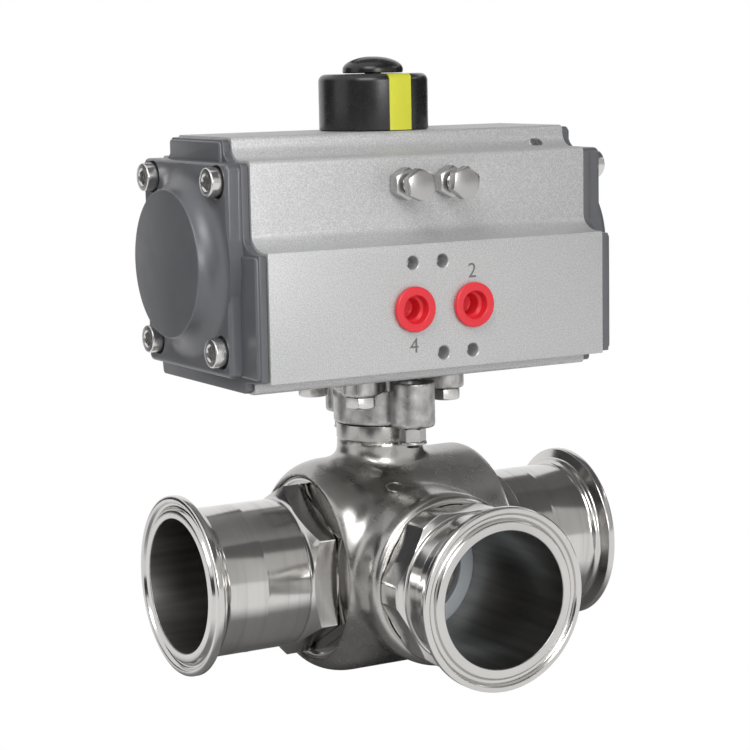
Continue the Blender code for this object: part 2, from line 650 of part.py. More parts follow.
def bracket():
    """Cast bracket: a tube that stands on the neck, a four-lobed plate and two bored bosses."""
    tall = rod("tall", BRACKET_TUBE_R, BRACKET_BASE, PLATE_BASE + 1, facets=FINE)
    start = degrees(asin(LOBE_R / PLATE_HUB_R))
    outline = []
    for turn in (45, 135, 225, 315):
        hub = arc((0, 0), PLATE_HUB_R, turn - 90 + start, turn - start, 4)
        lobe = arc((BOLT_CIRCLE_R, 0), LOBE_R, -90, 90, 8)
        angle = radians(turn)
        outline += hub + [(x * cos(angle) - y * sin(angle), x * sin(angle) + y * cos(angle)) for x, y in lobe]
    made = prism("mounting_bracket", outline, PLATE_BASE, PLATE_TOP, "cast_steel")
    join(made, tall)
    for side in (-1, 1):
        at = (0, side * EAR_Y, 0)
        join(made, rod("boss", BRACKET_BOSS_R, BRACKET_BOSS_BASE, BRACKET_BOSS_TOP, at=at, facets=MEDIUM))
    cut(made, rod("bore", BRACKET_BORE_R, BRACKET_BASE - 1, PLATE_TOP + 1, facets=FINE))
    for side in (-1, 1):
        at = (0, side * EAR_Y, 0)
        cut(made, rod("counterbore", COUNTERBORE_R, COUNTERBORE_FLOOR, PLATE_TOP + 1, at=at),
            rod("screw_hole", M5_R + GAP, BRACKET_BOSS_BASE - 1, COUNTERBORE_FLOOR + 1, at=at, facets=SMALL))
    for x, y in bolt_places():
        cut(made, rod("bolt_hole", M6_R + GAP, PLATE_BASE - 1, PLATE_TOP + 1, at=(x, y, 0), facets=SMALL))
    return made


def bolt_places():
    reach = BOLT_CIRCLE_R / sqrt(2)
    return [(-reach, -reach), (reach, -reach), (reach, reach), (-reach, reach)]


def hex_bolt(name, at, axis, length, turn=0.0):
    """A hexagon bolt. Its head's seat is at the height 0 and the shank runs up from there."""
    bolt = prism(name, hexagon(M6_FLATS, turn), -M6_HEAD, 0, "steel_fastener", axis, at)
    shank = rod("shank", M6_R, -1, length, axis=axis, at=at, facets=SMALL)
    return join(bolt, shank)


def bracket_fasteners():
    places = zip(("front_left", "front_right", "back_right", "back_left"), bolt_places())
    for place, (x, y) in places:
        hex_bolt("bracket_bolt_" + place, (x, y, PLATE_BASE - GAP), "+Z", PLATE_THICKNESS + GAP + 9)
    nut_top = BRACKET_BOSS_BASE - GAP
    nut_base = NECK_TOP + GAP
    for place, side in (("front", -1), ("back", 1)):
        at = (0, side * EAR_Y, 0)
        socket_screw("neck_bolt_" + place, (0, side * EAR_Y, COUNTERBORE_FLOOR + GAP), "-Z", M5_R,
                     M5_SOCKET_HEAD_R, M5_SOCKET_HEAD, 20.0, 2.3)
        nut = prism("neck_nut_" + place, hexagon(M5_NUT_FLATS, 30), nut_base + M5_NUT_FLANGE / 2, nut_top,
                    "steel_fastener", at=at)
        join(nut, rod("flange", M5_NUT_FLANGE_R, nut_base, nut_base + M5_NUT_FLANGE, at=at))
        cut(nut, rod("hole", M5_R + GAP, nut_base - 1, nut_top + 1, at=at, facets=SMALL))


def socket_screw(name, at, axis, radius, head_r, head, length, socket_depth):
    """A socket head cap screw. Its head's seat is at 0 and the shank runs along the axis."""
    screw = lathe(name, [(0, length), (radius, length), (radius, 0), (head_r, 0), (head_r, 0.6 - head),
                         (head_r - 0.6, -head), (0, -head)], "steel_fastener", axis, at, COARSE)
    key = prism("key", hexagon(radius * 1.7), -head - 1, socket_depth - head, axis=axis, at=at)
    return cut(screw, key)


# Actuator

def housing_outline(inset=0.0):
    """Section of the extruded housing as (y, z) points, anticlockwise from the lower front edge."""
    base = HOUSING_BASE + inset
    top = HOUSING_TOP - inset
    side = SIDE_Y - inset
    block = BLOCK_Y - inset
    ridge = RIDGE_Y - inset
    block_top = BLOCK_TOP - inset
    shoulder = SHOULDER_Z - inset
    block_base = BLOCK_BASE + inset
    lip = BASE_LIP_Y - inset
    edge = EDGE_ROUND
    upper = arc((-ridge - COVE_R, shoulder + COVE_R), COVE_R, 0, -90, 3)
    lower_cove = arc((-block + 2.0, COVE_START), (block - side - 2.0, COVE_START - block_top), 0, -90, 3)
    back_upper = [(-y, z) for y, z in reversed(upper)]
    outline = arc((-ridge + edge, top - edge), edge, 90, 180, 2)
    outline += upper
    outline += arc((-side + edge, shoulder - edge), edge, 90, 180, 2)
    outline += lower_cove
    outline += [(-block, block_top), (-block, block_base), (-lip, block_base - 1.2)]
    outline += [(-lip, base + edge), (-lip + edge, base), (lip - edge, base), (lip, base + edge)]
    outline += [(side, block_base)]
    outline += arc((side - edge, shoulder - edge), edge, 0, 90, 2)
    outline += back_upper
    outline += arc((ridge - edge, top - edge), edge, 0, 90, 2)
    return outline


def along_x(name, outline, low, high, finish="satin_steel"):
    """Extrude a (y, z) outline along X."""
    made = prism(name, outline, low, high, finish)
    made.data.transform(Matrix(((0, 0, 1, 0), (1, 0, 0, 0), (0, 1, 0, 0), (0, 0, 0, 1))))
    return made


def actuator_housing():
    made = along_x("actuator_housing", housing_outline(), -HOUSING_END, HOUSING_END, "anodised_aluminium")
    at = (0, 0, BORE_Z)
    cut(made, rod("bore", BORE_R, -HOUSING_END - 1, HOUSING_END + 1, axis="+X", at=at, facets=FINE))
    cut(made, rod("cam_pocket", CAM_POCKET_R, BORE_Z + 10, CAM_POCKET_TOP, facets=MEDIUM),
        rod("lower_bearing", LOWER_BUSH_R + GAP, HOUSING_BASE - 1, BORE_Z, facets=MEDIUM),
        rod("upper_bearing", UPPER_BUSH_R + GAP, BORE_Z, HOUSING_TOP + 1, facets=MEDIUM))
    for side in (-1, 1):
        at = (side * PORT_X, -BLOCK_Y, PORT_Z)
        cut(made, rod("port", PORT_HOLE_R, -1, PORT_HOLE_DEPTH, axis="+Y", at=at))
        at = (side * STOP_X, -SIDE_Y, STOP_Z)
        cut(made, rod("stop_hole", M6_R + GAP, -1, SIDE_Y - CAM_FACE, axis="+Y", at=at, facets=SMALL))
    cut(made, rod("passage", PASSAGE_R, 0, BLOCK_Y - BORE_R / 3, axis="+Y", at=(-PORT_X, -BLOCK_Y, PORT_Z), facets=SMALL))
    for x, z in pad_places():
        cut(made, rod("pad_hole", PAD_HOLE_R, -1, PAD_HOLE_DEPTH, axis="+Y", at=(x, -BLOCK_Y, z), facets=SMALL))
    for x, y in bolt_places():
        cut(made, rod("base_hole", M6_R + GAP, -1, 10, at=(x, y, HOUSING_BASE), facets=SMALL))
    reach = CAP_SCREW_LENGTH - (CAP_SCREW_FLOOR - HOUSING_END) + 1
    for end in (-1, 1):
        for y, z in cap_screw_places():
            axis = "-X" if end > 0 else "+X"
            cut(made, rod("screw_hole", CAP_SCREW_R + GAP, -1, reach, axis=axis, at=(end * HOUSING_END, y, z),
                          facets=SMALL))
    return made


def pad_places():
    """Screw holes of the air interface: a 24 by 32 mm rectangle round the two ports."""
    left, right = -PAD_X, PAD_X
    return [(left, PORT_Z + PAD_Z), (0, PORT_Z + PAD_Z), (0, PORT_Z - PAD_Z), (right, PORT_Z - PAD_Z)]


def cap_screw_places():
    return [(y, BORE_Z + z) for y in (-CAP_SCREW_Y, CAP_SCREW_Y) for z in (CAP_SCREW_Z, -CAP_SCREW_Z)]


def end_cap(name, end):
    """Cast end cap: flange in the housing's outline, square block, filleted dome and inner spigot."""
    flange = along_x(name, housing_outline(CAP_INSET), CAP_START, CAP_STEP + 0.2, "grey_paint")
    round_r = CAP_BLOCK_ROUND
    corners = ((-1, -1, 180), (1, -1, 270), (1, 1, 0), (-1, 1, 90))
    middle = (CAP_BLOCK_TOP + CAP_BLOCK_BASE) / 2
    half = (CAP_BLOCK_TOP - CAP_BLOCK_BASE) / 2
    outline = []
    for y_side, z_side, start in corners:
        centre = (y_side * (CAP_BLOCK_Y - round_r), middle + z_side * (half - round_r))
        outline += arc(centre, round_r, start, start + 90, 2)
    join(flange, along_x("block", outline, CAP_STEP - 1, CAP_FACE))
    front = -BLOCK_Y + CAP_INSET
    inner = -CAP_BLOCK_Y + 3.0
    ledges = (
        (front + 0.5, inner, CAP_BLOCK_BASE + 0.1, BLOCK_TOP - 1.2, CAP_LEDGE),
        (-CAP_BLOCK_Y - 0.2, inner, BLOCK_TOP - 1.4, CAP_BLOCK_TOP - 1.4, CAP_LEDGE + 0.2),
        (-RIDGE_Y + 1.3, RIDGE_Y - 1.3, CAP_BLOCK_TOP - 3.0, HOUSING_TOP - 1.3, CAP_LEDGE - 0.1),
    )
    for y_low, y_high, z_low, z_high, rise in ledges:
        ledge = [(y_low, z_low), (y_high, z_low), (y_high, z_high), (y_low, z_high)]
        join(flange, along_x("ledge", ledge, CAP_STEP - 1, CAP_STEP + rise))
    fillet = DOME_BASE_R - DOME_R
    flare = arc((DOME_BASE_R, CAP_FACE + fillet), fillet, 270, 180, 4)
    flare = [point for point in flare if point[1] < DOME_FACE]
    at = (0, 0, BORE_Z)
    dome = lathe("dome", [(0, CAP_STEP - 1), (DOME_BASE_R, CAP_STEP - 1)] + flare + [
        (DOME_R, DOME_FACE), (0, DOME_FACE)], axis="+X", at=at, facets=FINE)
    spigot_r = BORE_R - GAP
    spigot_end = CAP_START - SPIGOT_LENGTH
    groove = spigot_end + 1.6
    groove_floor = BORE_R - 2 * SEAL_GAP - RING_SECTION
    profile = [(0, CAP_START + 1), (spigot_r, CAP_START + 1), (spigot_r, groove + RING_SECTION + 2 * GAP),
               (groove_floor, groove + RING_SECTION + 2 * GAP), (groove_floor, groove), (spigot_r, groove),
               (spigot_r, spigot_end), (0, spigot_end)]
    spigot = lathe("spigot", profile, axis="+X", at=at, facets=FINE)
    join(flange, dome, spigot)
    cut(flange, rod("hollow", SPIGOT_BORE_R, spigot_end - 1, CAP_STEP, axis="+X", at=at, facets=MEDIUM))
    for y, z in cap_screw_places():
        cut(flange, rod("pocket", POCKET_R, CAP_SCREW_FLOOR, DOME_FACE + 1, axis="+X", at=(0, y, z)),
            rod("hole", CAP_SCREW_R + GAP, CAP_START - 1, DOME_FACE, axis="+X", at=(0, y, z), facets=SMALL))
    if end < 0:
        flange.data.transform(Matrix.Scale(-1, 4, (1, 0, 0)))
        flange.data.flip_normals()
    side = "left" if end < 0 else "right"
    ring_seal(side + "_cover_seal", BORE_R - SEAL_GAP, groove + GAP + RING_SECTION / 2,
              axis="-X" if end < 0 else "+X", at=at)
    for (y, z), place in zip(cap_screw_places(), ("front_top", "front_low", "back_top", "back_low")):
        socket_screw(side + "_cover_screw_" + place, (end * (CAP_SCREW_FLOOR + GAP), y, z),
                     "-X" if end > 0 else "+X", CAP_SCREW_R, CAP_SCREW_HEAD_R, CAP_SCREW_HEAD,
                     CAP_SCREW_LENGTH, 3.4)
    return flange


def gear_outline():
    """Involute pinion, one tooth pointing along +Y, its flanks thinned by half the backlash."""
    pressure = radians(PRESSURE_ANGLE)
    base_r = PITCH_R * cos(pressure)
    tip_r = PITCH_R + GEAR_MODULE
    root_r = PITCH_R - 1.25 * GEAR_MODULE
    half_tooth = pi / (2 * GEAR_TEETH) - BACKLASH / 4 / PITCH_R
    at_pitch = tan(pressure) - pressure

    def flank(radius):
        """Half the tooth's angle at a radius outside the base circle."""
        turn = acos(base_r / radius)
        return half_tooth + at_pitch - (tan(turn) - turn)

    radii = [base_r + (tip_r - base_r) * i / 2 for i in range(3)]
    points = []
    for tooth in range(GEAR_TEETH):
        middle = pi / 2 + 2 * pi * tooth / GEAR_TEETH
        rising = [(root_r, middle - flank(base_r))] + [(r, middle - flank(r)) for r in radii]
        falling = [(r, 2 * middle - angle) for r, angle in reversed(rising)]
        points += [(r * cos(angle), r * sin(angle)) for r, angle in rising + falling]
    return points


def pinion():
    """Pinion: toothed middle, journals, hexagon for the cam, and the square socket for the stem."""
    made = prism("pinion", gear_outline(), TOOTH_BASE, TOOTH_TOP)
    shaft = lathe("shaft", [
        (0, PINION_BASE), (PINION_LOWER_R, PINION_BASE), (PINION_LOWER_R, TOOTH_BASE + 0.5),
        (PINION_UPPER_R - 1, TOOTH_BASE + 0.5), (PINION_UPPER_R - 1, TOOTH_TOP - 0.5),
        (PINION_UPPER_R, TOOTH_TOP - 0.5), (PINION_UPPER_R, CAM_BASE - GAP), (PINION_TOP_R, CAM_BASE - GAP),
        (PINION_TOP_R, HOUSING_TOP + 0.5), (PINION_TOP_R - 0.8, HOUSING_TOP + 0.5),
        (PINION_TOP_R - 0.8, HOUSING_TOP + 0.5 + CLIP_HEIGHT + GAP),
        (PINION_TOP_R, HOUSING_TOP + 0.5 + CLIP_HEIGHT + GAP), (PINION_TOP_R, PINION_TOP), (0, PINION_TOP)])
    seat_hex = prism("seat_hex", hexagon(CAM_HEX), CAM_BASE - 1, CAM_TOP)
    join(made, shaft, seat_hex)
    half = STEM_SQUARE / 2 + GAP
    corner = half * 0.72
    outline = [(half, -corner), (half, corner), (corner, half), (-corner, half),
               (-half, corner), (-half, -corner), (-corner, -half), (corner, -half)]
    cut(made, prism("socket", outline, PINION_BASE - 1, PINION_BASE + SOCKET_DEPTH))
    cut(made, rod("tapped_hole", M6_R + GAP, PINION_TOP - 12, PINION_TOP + 1, facets=SMALL))
    return made


def stop_cam():
    """Cam on the pinion: a quarter sector whose two flat faces meet the stop bolts."""
    reach = sqrt(CAM_R ** 2 - CAM_FACE ** 2)
    end = degrees(atan2(-CAM_FACE, -reach)) + 360
    outer = arc((0, 0), CAM_R, degrees(atan2(reach, CAM_FACE)), end, 14)
    hub = arc((0, 0), CAM_FACE, 270, 360, 5)
    made = prism("stop_cam", outer + hub, CAM_BASE, CAM_TOP)
    cut(made, prism("hex_hole", hexagon(CAM_HEX + 2 * GAP), CAM_BASE - 1, CAM_TOP + 1))
    return made


def rack_outline():
    """Leg of a piston seen from above, (x, y): trapezoid teeth that mesh at y = pitch radius."""
    pitch = pi * GEAR_MODULE
    tip_y = PITCH_R - 0.9 * GEAR_MODULE
    root_y = PITCH_R + 1.25 * GEAR_MODULE
    slope = tan(radians(PRESSURE_ANGLE))
    half_pitch = pitch / 4 - BACKLASH / 4
    half_tip = half_pitch - (PITCH_R - tip_y) * slope
    half_root = half_pitch + (root_y - PITCH_R) * slope
    first = -(STROKE / pitch) * pitch - pitch / 2
    points = []
    for tooth in range(RACK_TEETH):
        middle = first + tooth * pitch
        points += [(middle - half_root, root_y), (middle - half_tip, tip_y),
                   (middle + half_tip, tip_y), (middle + half_root, root_y)]
    far = BORE_R + 5
    return points + [(PISTON_INNER + 1, root_y), (PISTON_INNER + 1, far), (first - half_root, far)]


def piston(name, end):
    """Piston: grooved head and a leg that carries the rack. The left one is the right one turned."""
    leg = prism(name, rack_outline(), -LEG_HALF_HEIGHT, LEG_HALF_HEIGHT, "cast_aluminium")
    combine(leg, rod("limit", BORE_R - RUNNING - 0.2, -40, 40, axis="+X", facets=MEDIUM), "INTERSECT")
    head_r = BORE_R - RUNNING
    outer = PISTON_INNER + PISTON_THICKNESS
    seal = PISTON_INNER + PISTON_SEAL_OFFSET
    low = seal - RING_SECTION / 2 - GAP
    high = seal + RING_SECTION / 2 + GAP
    floor = BORE_R - 2 * SEAL_GAP - RING_SECTION
    head = lathe("head", [(0, PISTON_INNER), (head_r, PISTON_INNER), (head_r, low), (floor, low), (floor, high),
                          (head_r, high), (head_r, outer), (0, outer)], axis="+X", facets=FINE)
    recess = rod("recess", 20.0, outer - 5, outer + 1, axis="+X", facets=MEDIUM)
    cut(join(leg, head), recess)
    ring = ring_seal(name + "_seal", BORE_R - SEAL_GAP, seal, axis="+X")
    turn = Matrix.Identity(4) if end > 0 else Matrix.Rotation(pi, 4, "Z")
    for piece in (leg, ring):
        piece.data.transform(turn)
        piece.location = (0, 0, BORE_Z * MM)
    return leg, ring


def bearings():
    lower = tube("pinion_lower_bush", PINION_LOWER_R + RUNNING, LOWER_BUSH_R, PINION_BASE,
                 BORE_Z - BORE_R - 0.5, "acetal")
    upper = tube("pinion_upper_bush", PINION_TOP_R + RUNNING, UPPER_BUSH_R, CAM_POCKET_TOP + 2.2,
                 HOUSING_TOP - GAP, "acetal")
    return lower, upper


def circlip():
    """Retaining ring in the pinion's top groove, open at the back."""
    low = HOUSING_TOP + 0.5 + GAP / 2
    clip = tube("pinion_circlip", PINION_TOP_R - 0.5, CLIP_R, low, low + CLIP_HEIGHT, "spring_steel")
    notch = prism("notch", [(-3, 0), (3, 0), (3, 20), (-3, 20)], low - 1, low + CLIP_HEIGHT + 1)
    return cut(clip, notch)


def stop_bolts():
    for place, side in (("left", -1), ("right", 1)):
        at = (side * STOP_X, -STOP_HEAD_START, STOP_Z)
        hex_bolt("stop_bolt_" + place, at, "+Y", STOP_HEAD_START - CAM_FACE - GAP, 30)
        at = (side * STOP_X, -SIDE_Y, STOP_Z)
        nut = prism("stop_nut_" + place, hexagon(M6_FLATS, 30), GAP, GAP + STOP_NUT, "steel_fastener", "-Y", at)
        cut(nut, rod("hole", M6_R + GAP, -1, STOP_NUT + 2, axis="-Y", at=at, facets=SMALL))


def indicator():
    """Position indicator: hollow cap on the pinion's top, two coloured inserts and a dome screw."""
    sleeve_r = PINION_TOP_R + GAP
    roof = INDICATOR_TOP - INDICATOR_WALL - 1.2
    inner = INDICATOR_R - INDICATOR_WALL
    sleeve_base = HOUSING_TOP + CLIP_HEIGHT + 3
    edge = arc((INDICATOR_R - INDICATOR_ROUND, INDICATOR_TOP - INDICATOR_ROUND), INDICATOR_ROUND, 0, 90, 3)
    cap = lathe("indicator_cap", [
        (M6_R + GAP, roof), (sleeve_r, roof), (sleeve_r, sleeve_base), (sleeve_r + SLEEVE_WALL, sleeve_base),
        (sleeve_r + SLEEVE_WALL, roof), (inner, roof), (inner, INDICATOR_BASE), (INDICATOR_R, INDICATOR_BASE)]
        + edge + [(M6_R + GAP, INDICATOR_TOP)], "black_plastic", facets=FINE)
    inserts = []
    for place, turn in (("front", 0), ("right", 90)):
        slot = insert_strip("slot", INSERT_WIDTH / 2 + GAP, INSERT_THICKNESS + GAP, 0.5, GAP)
        slot.data.transform(Matrix.Rotation(radians(turn), 4, "Z"))
        cut(cap, slot)
        strip = insert_strip("indicator_insert_" + place, INSERT_WIDTH / 2, INSERT_THICKNESS, 0, 0)
        strip.data.transform(Matrix.Rotation(radians(turn), 4, "Z"))
        inserts.append(strip)
    head_base = INDICATOR_TOP + GAP
    dome = arc((0, head_base + 1.2), (DOME_SCREW_R, DOME_SCREW_HEIGHT - 1.2), 0, 90, 4)
    screw = lathe("indicator_screw", [(0, PINION_TOP - 9), (M6_R, PINION_TOP - 9), (M6_R, head_base),
                                      (DOME_SCREW_R, head_base)] + dome, "black_plastic")
    half = DOME_SLOT / 2
    top = head_base + DOME_SCREW_HEIGHT
    cut(screw, prism("driver_slot", [(-20, -half), (20, -half), (20, half), (-20, half)], top - 2.2, top + 1))
    return [cap, screw] + inserts


def insert_strip(name, half_width, thickness, proud, play):
    """A strip on the front of the indicator: up its side, over its rounded edge and onto its top."""
    outer = INDICATOR_R + proud
    top = INDICATOR_TOP + proud
    edge = INDICATOR_ROUND
    inner_edge = max(edge - thickness, 0.4)
    outside = arc((-(INDICATOR_R - edge), INDICATOR_TOP - edge), edge + proud, 180, 90, 3)
    inside = arc((-(INDICATOR_R - edge), INDICATOR_TOP - edge), inner_edge, 90, 180, 3)
    tip = -(DOME_SCREW_R - 1.5 - play)
    outline = [(-outer, INDICATOR_BASE - play * 3)] + outside + [(tip, top), (tip, INDICATOR_TOP - thickness)]
    outline += inside + [(-(INDICATOR_R - thickness), INDICATOR_BASE - play * 3)]
    strip = along_x(name, outline, -half_width, half_width, "yellow_plastic")
    if proud:
        return strip
    limit = rod("limit", INDICATOR_R, INDICATOR_BASE - 1, INDICATOR_TOP + 1, facets=FINE)
    return combine(strip, limit, "INTERSECT")


def port_plugs():
    """Soft protective plugs in the two air ports."""
    for place, side in (("left", -1), ("right", 1)):
        at = (side * PORT_X, -BLOCK_Y, PORT_Z)
        depth = PLUG_STEM
        lathe("port_plug_" + place, [
            (0, -depth), (PLUG_STEM_R, -depth), (PLUG_STEM_R, GAP), (PLUG_FLANGE_R, GAP),
            (PLUG_FLANGE_R, PLUG_FLANGE), (PLUG_FLANGE_R - 0.4, PLUG_FLANGE + 0.4),
            (PLUG_HOLE_R, PLUG_FLANGE + 0.4), (PLUG_HOLE_R, -1.5), (PLUG_INNER_R, -2.2),
            (PLUG_INNER_R, 1.2 - depth), (0, 1.2 - depth)], "red_plastic", "-Y", at, COARSE)


def build():
    clear_scene()
    valve_body()
    for side, axis in (("left", "-X"), ("right", "+X")):
        run_cap(side + "_pipe_cap", axis)
        run_gasket(side + "_gasket", axis)
        seat(side + "_seat", axis)
    branch_cap()
    branch_gasket()
    seat("branch_seat", "-Y")
    seat("blind_seat", "+Y")
    stem_seals()
    bracket()
    bracket_fasteners()
    actuator_housing()
    end_cap("left_cover", -1)
    end_cap("right_cover", 1)
    bearings()
    stop_bolts()
    port_plugs()

    rotor = empty("rotor_axis", (0, 0, 0))
    carry(rotor, ball(), stem(), pinion(), stop_cam(), circlip(), *indicator())
    for side, end in (("left", -1), ("right", 1)):
        slide = empty(side + "_piston_axis", (0, 0, BORE_Z))
        carry(slide, *piston(side + "_piston", end))


build()
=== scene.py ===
# %% [markdown]
# Pneumatic three-way ball valve. The imported model is loaded first: its box sets the floor, and its inner
# nodes stay.
# The pieces that can be seen are then made again with rounder shapes and real finishes, and each one rides
# on the body that carries it. All sizes in this file are in millimetres until a mesh is finished.

# %% The frame and what every cell needs
from math import acos, asin, cos, degrees, pi, radians, sin, sqrt, tan

import bmesh
import bpy
from mathutils import Matrix, Vector


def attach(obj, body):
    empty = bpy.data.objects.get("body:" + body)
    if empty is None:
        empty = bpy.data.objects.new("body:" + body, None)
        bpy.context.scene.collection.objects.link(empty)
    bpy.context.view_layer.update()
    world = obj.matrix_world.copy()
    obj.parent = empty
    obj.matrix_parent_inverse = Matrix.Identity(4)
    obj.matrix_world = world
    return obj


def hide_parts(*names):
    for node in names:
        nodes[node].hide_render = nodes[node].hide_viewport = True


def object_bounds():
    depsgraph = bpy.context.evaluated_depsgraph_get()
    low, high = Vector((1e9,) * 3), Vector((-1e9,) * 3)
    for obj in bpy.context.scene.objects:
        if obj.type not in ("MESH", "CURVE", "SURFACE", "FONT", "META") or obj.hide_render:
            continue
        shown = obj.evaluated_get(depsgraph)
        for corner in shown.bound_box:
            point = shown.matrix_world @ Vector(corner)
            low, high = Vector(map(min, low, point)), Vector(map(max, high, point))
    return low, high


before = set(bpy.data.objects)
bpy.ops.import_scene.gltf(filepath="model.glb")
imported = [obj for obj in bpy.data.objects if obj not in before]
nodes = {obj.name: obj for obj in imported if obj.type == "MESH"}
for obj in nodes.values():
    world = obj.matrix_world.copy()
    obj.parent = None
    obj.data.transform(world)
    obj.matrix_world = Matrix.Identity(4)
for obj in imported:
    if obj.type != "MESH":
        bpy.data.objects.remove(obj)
MM = 0.001


def plain(bounds):
    """A box as plain lists of numbers."""
    return [[float(value) for value in corner] for corner in bounds]


cad_box = plain(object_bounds())
print("nodes:", len(nodes), "box:", cad_box)

# %% [markdown]
# Nearly every piece here is turned on a lathe or cut from a bar, so two helpers make most of them. A turned
# piece starts as a closed line of points, radius and height, whose corners are rounded while it is still a
# line; one spin closes it. A bar starts as one face that is extruded, and its two ends get a small bevel.

# %% Helpers that make a mesh
TO_AXIS = {
    "+Z": Matrix.Identity(4),
    "-Z": Matrix.Rotation(pi, 4, "X"),
    "+X": Matrix.Rotation(pi / 2, 4, "Y"),
    "-X": Matrix.Rotation(-pi / 2, 4, "Y"),
    "-Y": Matrix.Rotation(pi / 2, 4, "X"),
    "+Y": Matrix.Rotation(-pi / 2, 4, "X"),
}


def bevel(bm, geom, offset, segments, affect):
    bmesh.ops.bevel(bm, geom=geom, offset=offset, offset_type="OFFSET", segments=segments, profile=0.5,
                    affect=affect, clamp_overlap=True, material=-1)


def round_corners(bm, corners, segments):
    """Round the corners of a line or a flat face. corners pairs each vertex with its radius."""
    for radius in sorted({radius for vertex, radius in corners if radius > 0}):
        bevel(bm, [vertex for vertex, size in corners if size == radius], radius, segments, "VERTICES")


def to_mesh(name, bm):
    mesh = bpy.data.meshes.new(name)
    bm.to_mesh(mesh)
    bm.free()
    return mesh


def add(name, data):
    """Make an object of its data and put it into the scene."""
    made = bpy.data.objects.new(name, data)
    bpy.context.scene.collection.objects.link(made)
    return made


def to_object(name, bm, axis="+Z", at=(0, 0, 0), turn=0.0):
    """Put a mesh in its place and make it an object in metres, whose origin stays at the frame's origin."""
    bmesh.ops.remove_doubles(bm, verts=bm.verts, dist=0.0005)
    place = Matrix.Translation(at) @ TO_AXIS[axis] @ Matrix.Rotation(radians(turn), 4, "Z")
    bmesh.ops.transform(bm, matrix=Matrix.Scale(MM, 4) @ place, verts=bm.verts)
    bmesh.ops.recalc_face_normals(bm, faces=bm.faces)
    return add(name, to_mesh(name, bm))


def turned(name, profile, axis="+Z", at=(0, 0, 0), steps=96, segments=4):
    """Spin a closed line of (radius, height) or (radius, height, rounding) points."""
    bm = bmesh.new()
    line = [bm.verts.new((point[0], 0, point[1])) for point in profile]
    for first, second in zip(line, line[1:] + line[:1]):
        if first.co.x > 0 or second.co.x > 0:
            bm.edges.new((first, second))
    round_corners(bm, [(v, p[2] if len(p) > 2 else 0) for v, p in zip(line, profile)], segments)
    bmesh.ops.spin(bm, geom=bm.verts[:] + bm.edges[:], cent=(0, 0, 0), axis=(0, 0, 1), angle=2 * pi,
                   steps=steps, use_merge=True, use_duplicate=False)
    return to_object(name, bm, axis, at)


def rod(name, radius, low, high, axis="+Z", at=(0, 0, 0), steps=96):
    """A plain cylinder."""
    return turned(name, [(0, low), (radius, low), (radius, high), (0, high)], axis, at, steps)


def bar(name, outline, low, high, axis="+Z", at=(0, 0, 0), turn=0.0, corner=0.0, edge=0.0, segments=3,
        ends="both"):
    """Extrude a closed outline of (x, y) points, with rounded corners and bevelled end faces."""
    bm = bmesh.new()
    bm.faces.new([bm.verts.new((x, y, low)) for x, y in outline])
    round_corners(bm, [(vertex, corner) for vertex in bm.verts[:]], segments)
    grown = bmesh.ops.extrude_face_region(bm, geom=bm.faces[:])
    top = [item for item in grown["geom"] if isinstance(item, bmesh.types.BMVert)]
    bmesh.ops.translate(bm, verts=top, vec=(0, 0, high - low))
    if edge:
        heights = {"both": (low, high), "high": (high,), "low": (low,)}[ends]
        rims = [e for e in bm.edges
                if any(all(abs(v.co.z - height) < 1e-4 for v in e.verts) for height in heights)]
        bevel(bm, rims, edge, segments, "EDGES")
    return to_object(name, bm, axis, at, turn)


def arc(centre, radius, start, end, steps):
    """Points on an arc, in degrees. radius may be a pair for an ellipse."""
    wide, high = radius if isinstance(radius, tuple) else (radius, radius)
    turns = [radians(start + (end - start) * i / steps) for i in range(steps + 1)]
    return [(centre[0] + wide * cos(t), centre[1] + high * sin(t)) for t in turns]


def rectangle(left, right, low, high):
    return [(left, low), (right, low), (right, high), (left, high)]


def hexagon(flats, turn=0.0):
    return [(flats / sqrt(3) * cos(radians(turn + 60 * i)), flats / sqrt(3) * sin(radians(turn + 60 * i)))
            for i in range(6)]


print("helpers: turned, rod, bar, arc, rectangle, hexagon")

# %% [markdown]
# Holes are cut with Boolean modifiers that are applied at once. A cutter has its own chamfer, so that a
# drilled hole gets a bright, slightly broken edge without a bevel over the whole piece.

# %% Cutting, joining and showing a piece


def apply_modifiers(piece):
    """Give a piece the mesh that its modifiers make of it."""
    shape = piece.evaluated_get(bpy.context.evaluated_depsgraph_get())
    mesh = bpy.data.meshes.new_from_object(shape)
    piece.modifiers.clear()
    piece.data = mesh


def combine(target, tools, operation):
    for tool in tools:
        step = target.modifiers.new("step", "BOOLEAN")
        step.operation = operation
        step.solver = "EXACT"
        step.object = tool
        apply_modifiers(target)
        bpy.data.objects.remove(tool, do_unlink=True)
    return target


def cut(target, *tools):
    return combine(target, tools, "DIFFERENCE")


def join(target, *tools):
    return combine(target, tools, "UNION")


def keep(target, *tools):
    return combine(target, tools, "INTERSECT")


def drill(radius, depth, chamfer, axis, at, steps=40, cone=0.0):
    """A cutter for a hole whose mouth is at the given point; the hole runs along the axis."""
    return turned("drill", [(0, -2), (radius + chamfer + 2, -2), (radius + chamfer, 0), (radius, chamfer),
                            (radius, depth), (0, depth + cone)], axis, at, steps)


def smooth(piece, angle=34):
    piece.data.shade_smooth()
    piece.data.set_sharp_from_angle(angle=radians(angle))
    return piece


def show(piece, body, finish, slot_name, *replaced, angle=34):
    """Give a finished piece its material, let it ride, and hide the nodes that it stands for. slot_name is
    not used.
    """
    smooth(piece, angle)
    piece.data.materials.clear()
    piece.data.materials.append(finish)
    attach(piece, body)
    if replaced:
        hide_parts(*replaced)
    return piece


print("helpers: cut, join, keep, drill, show")

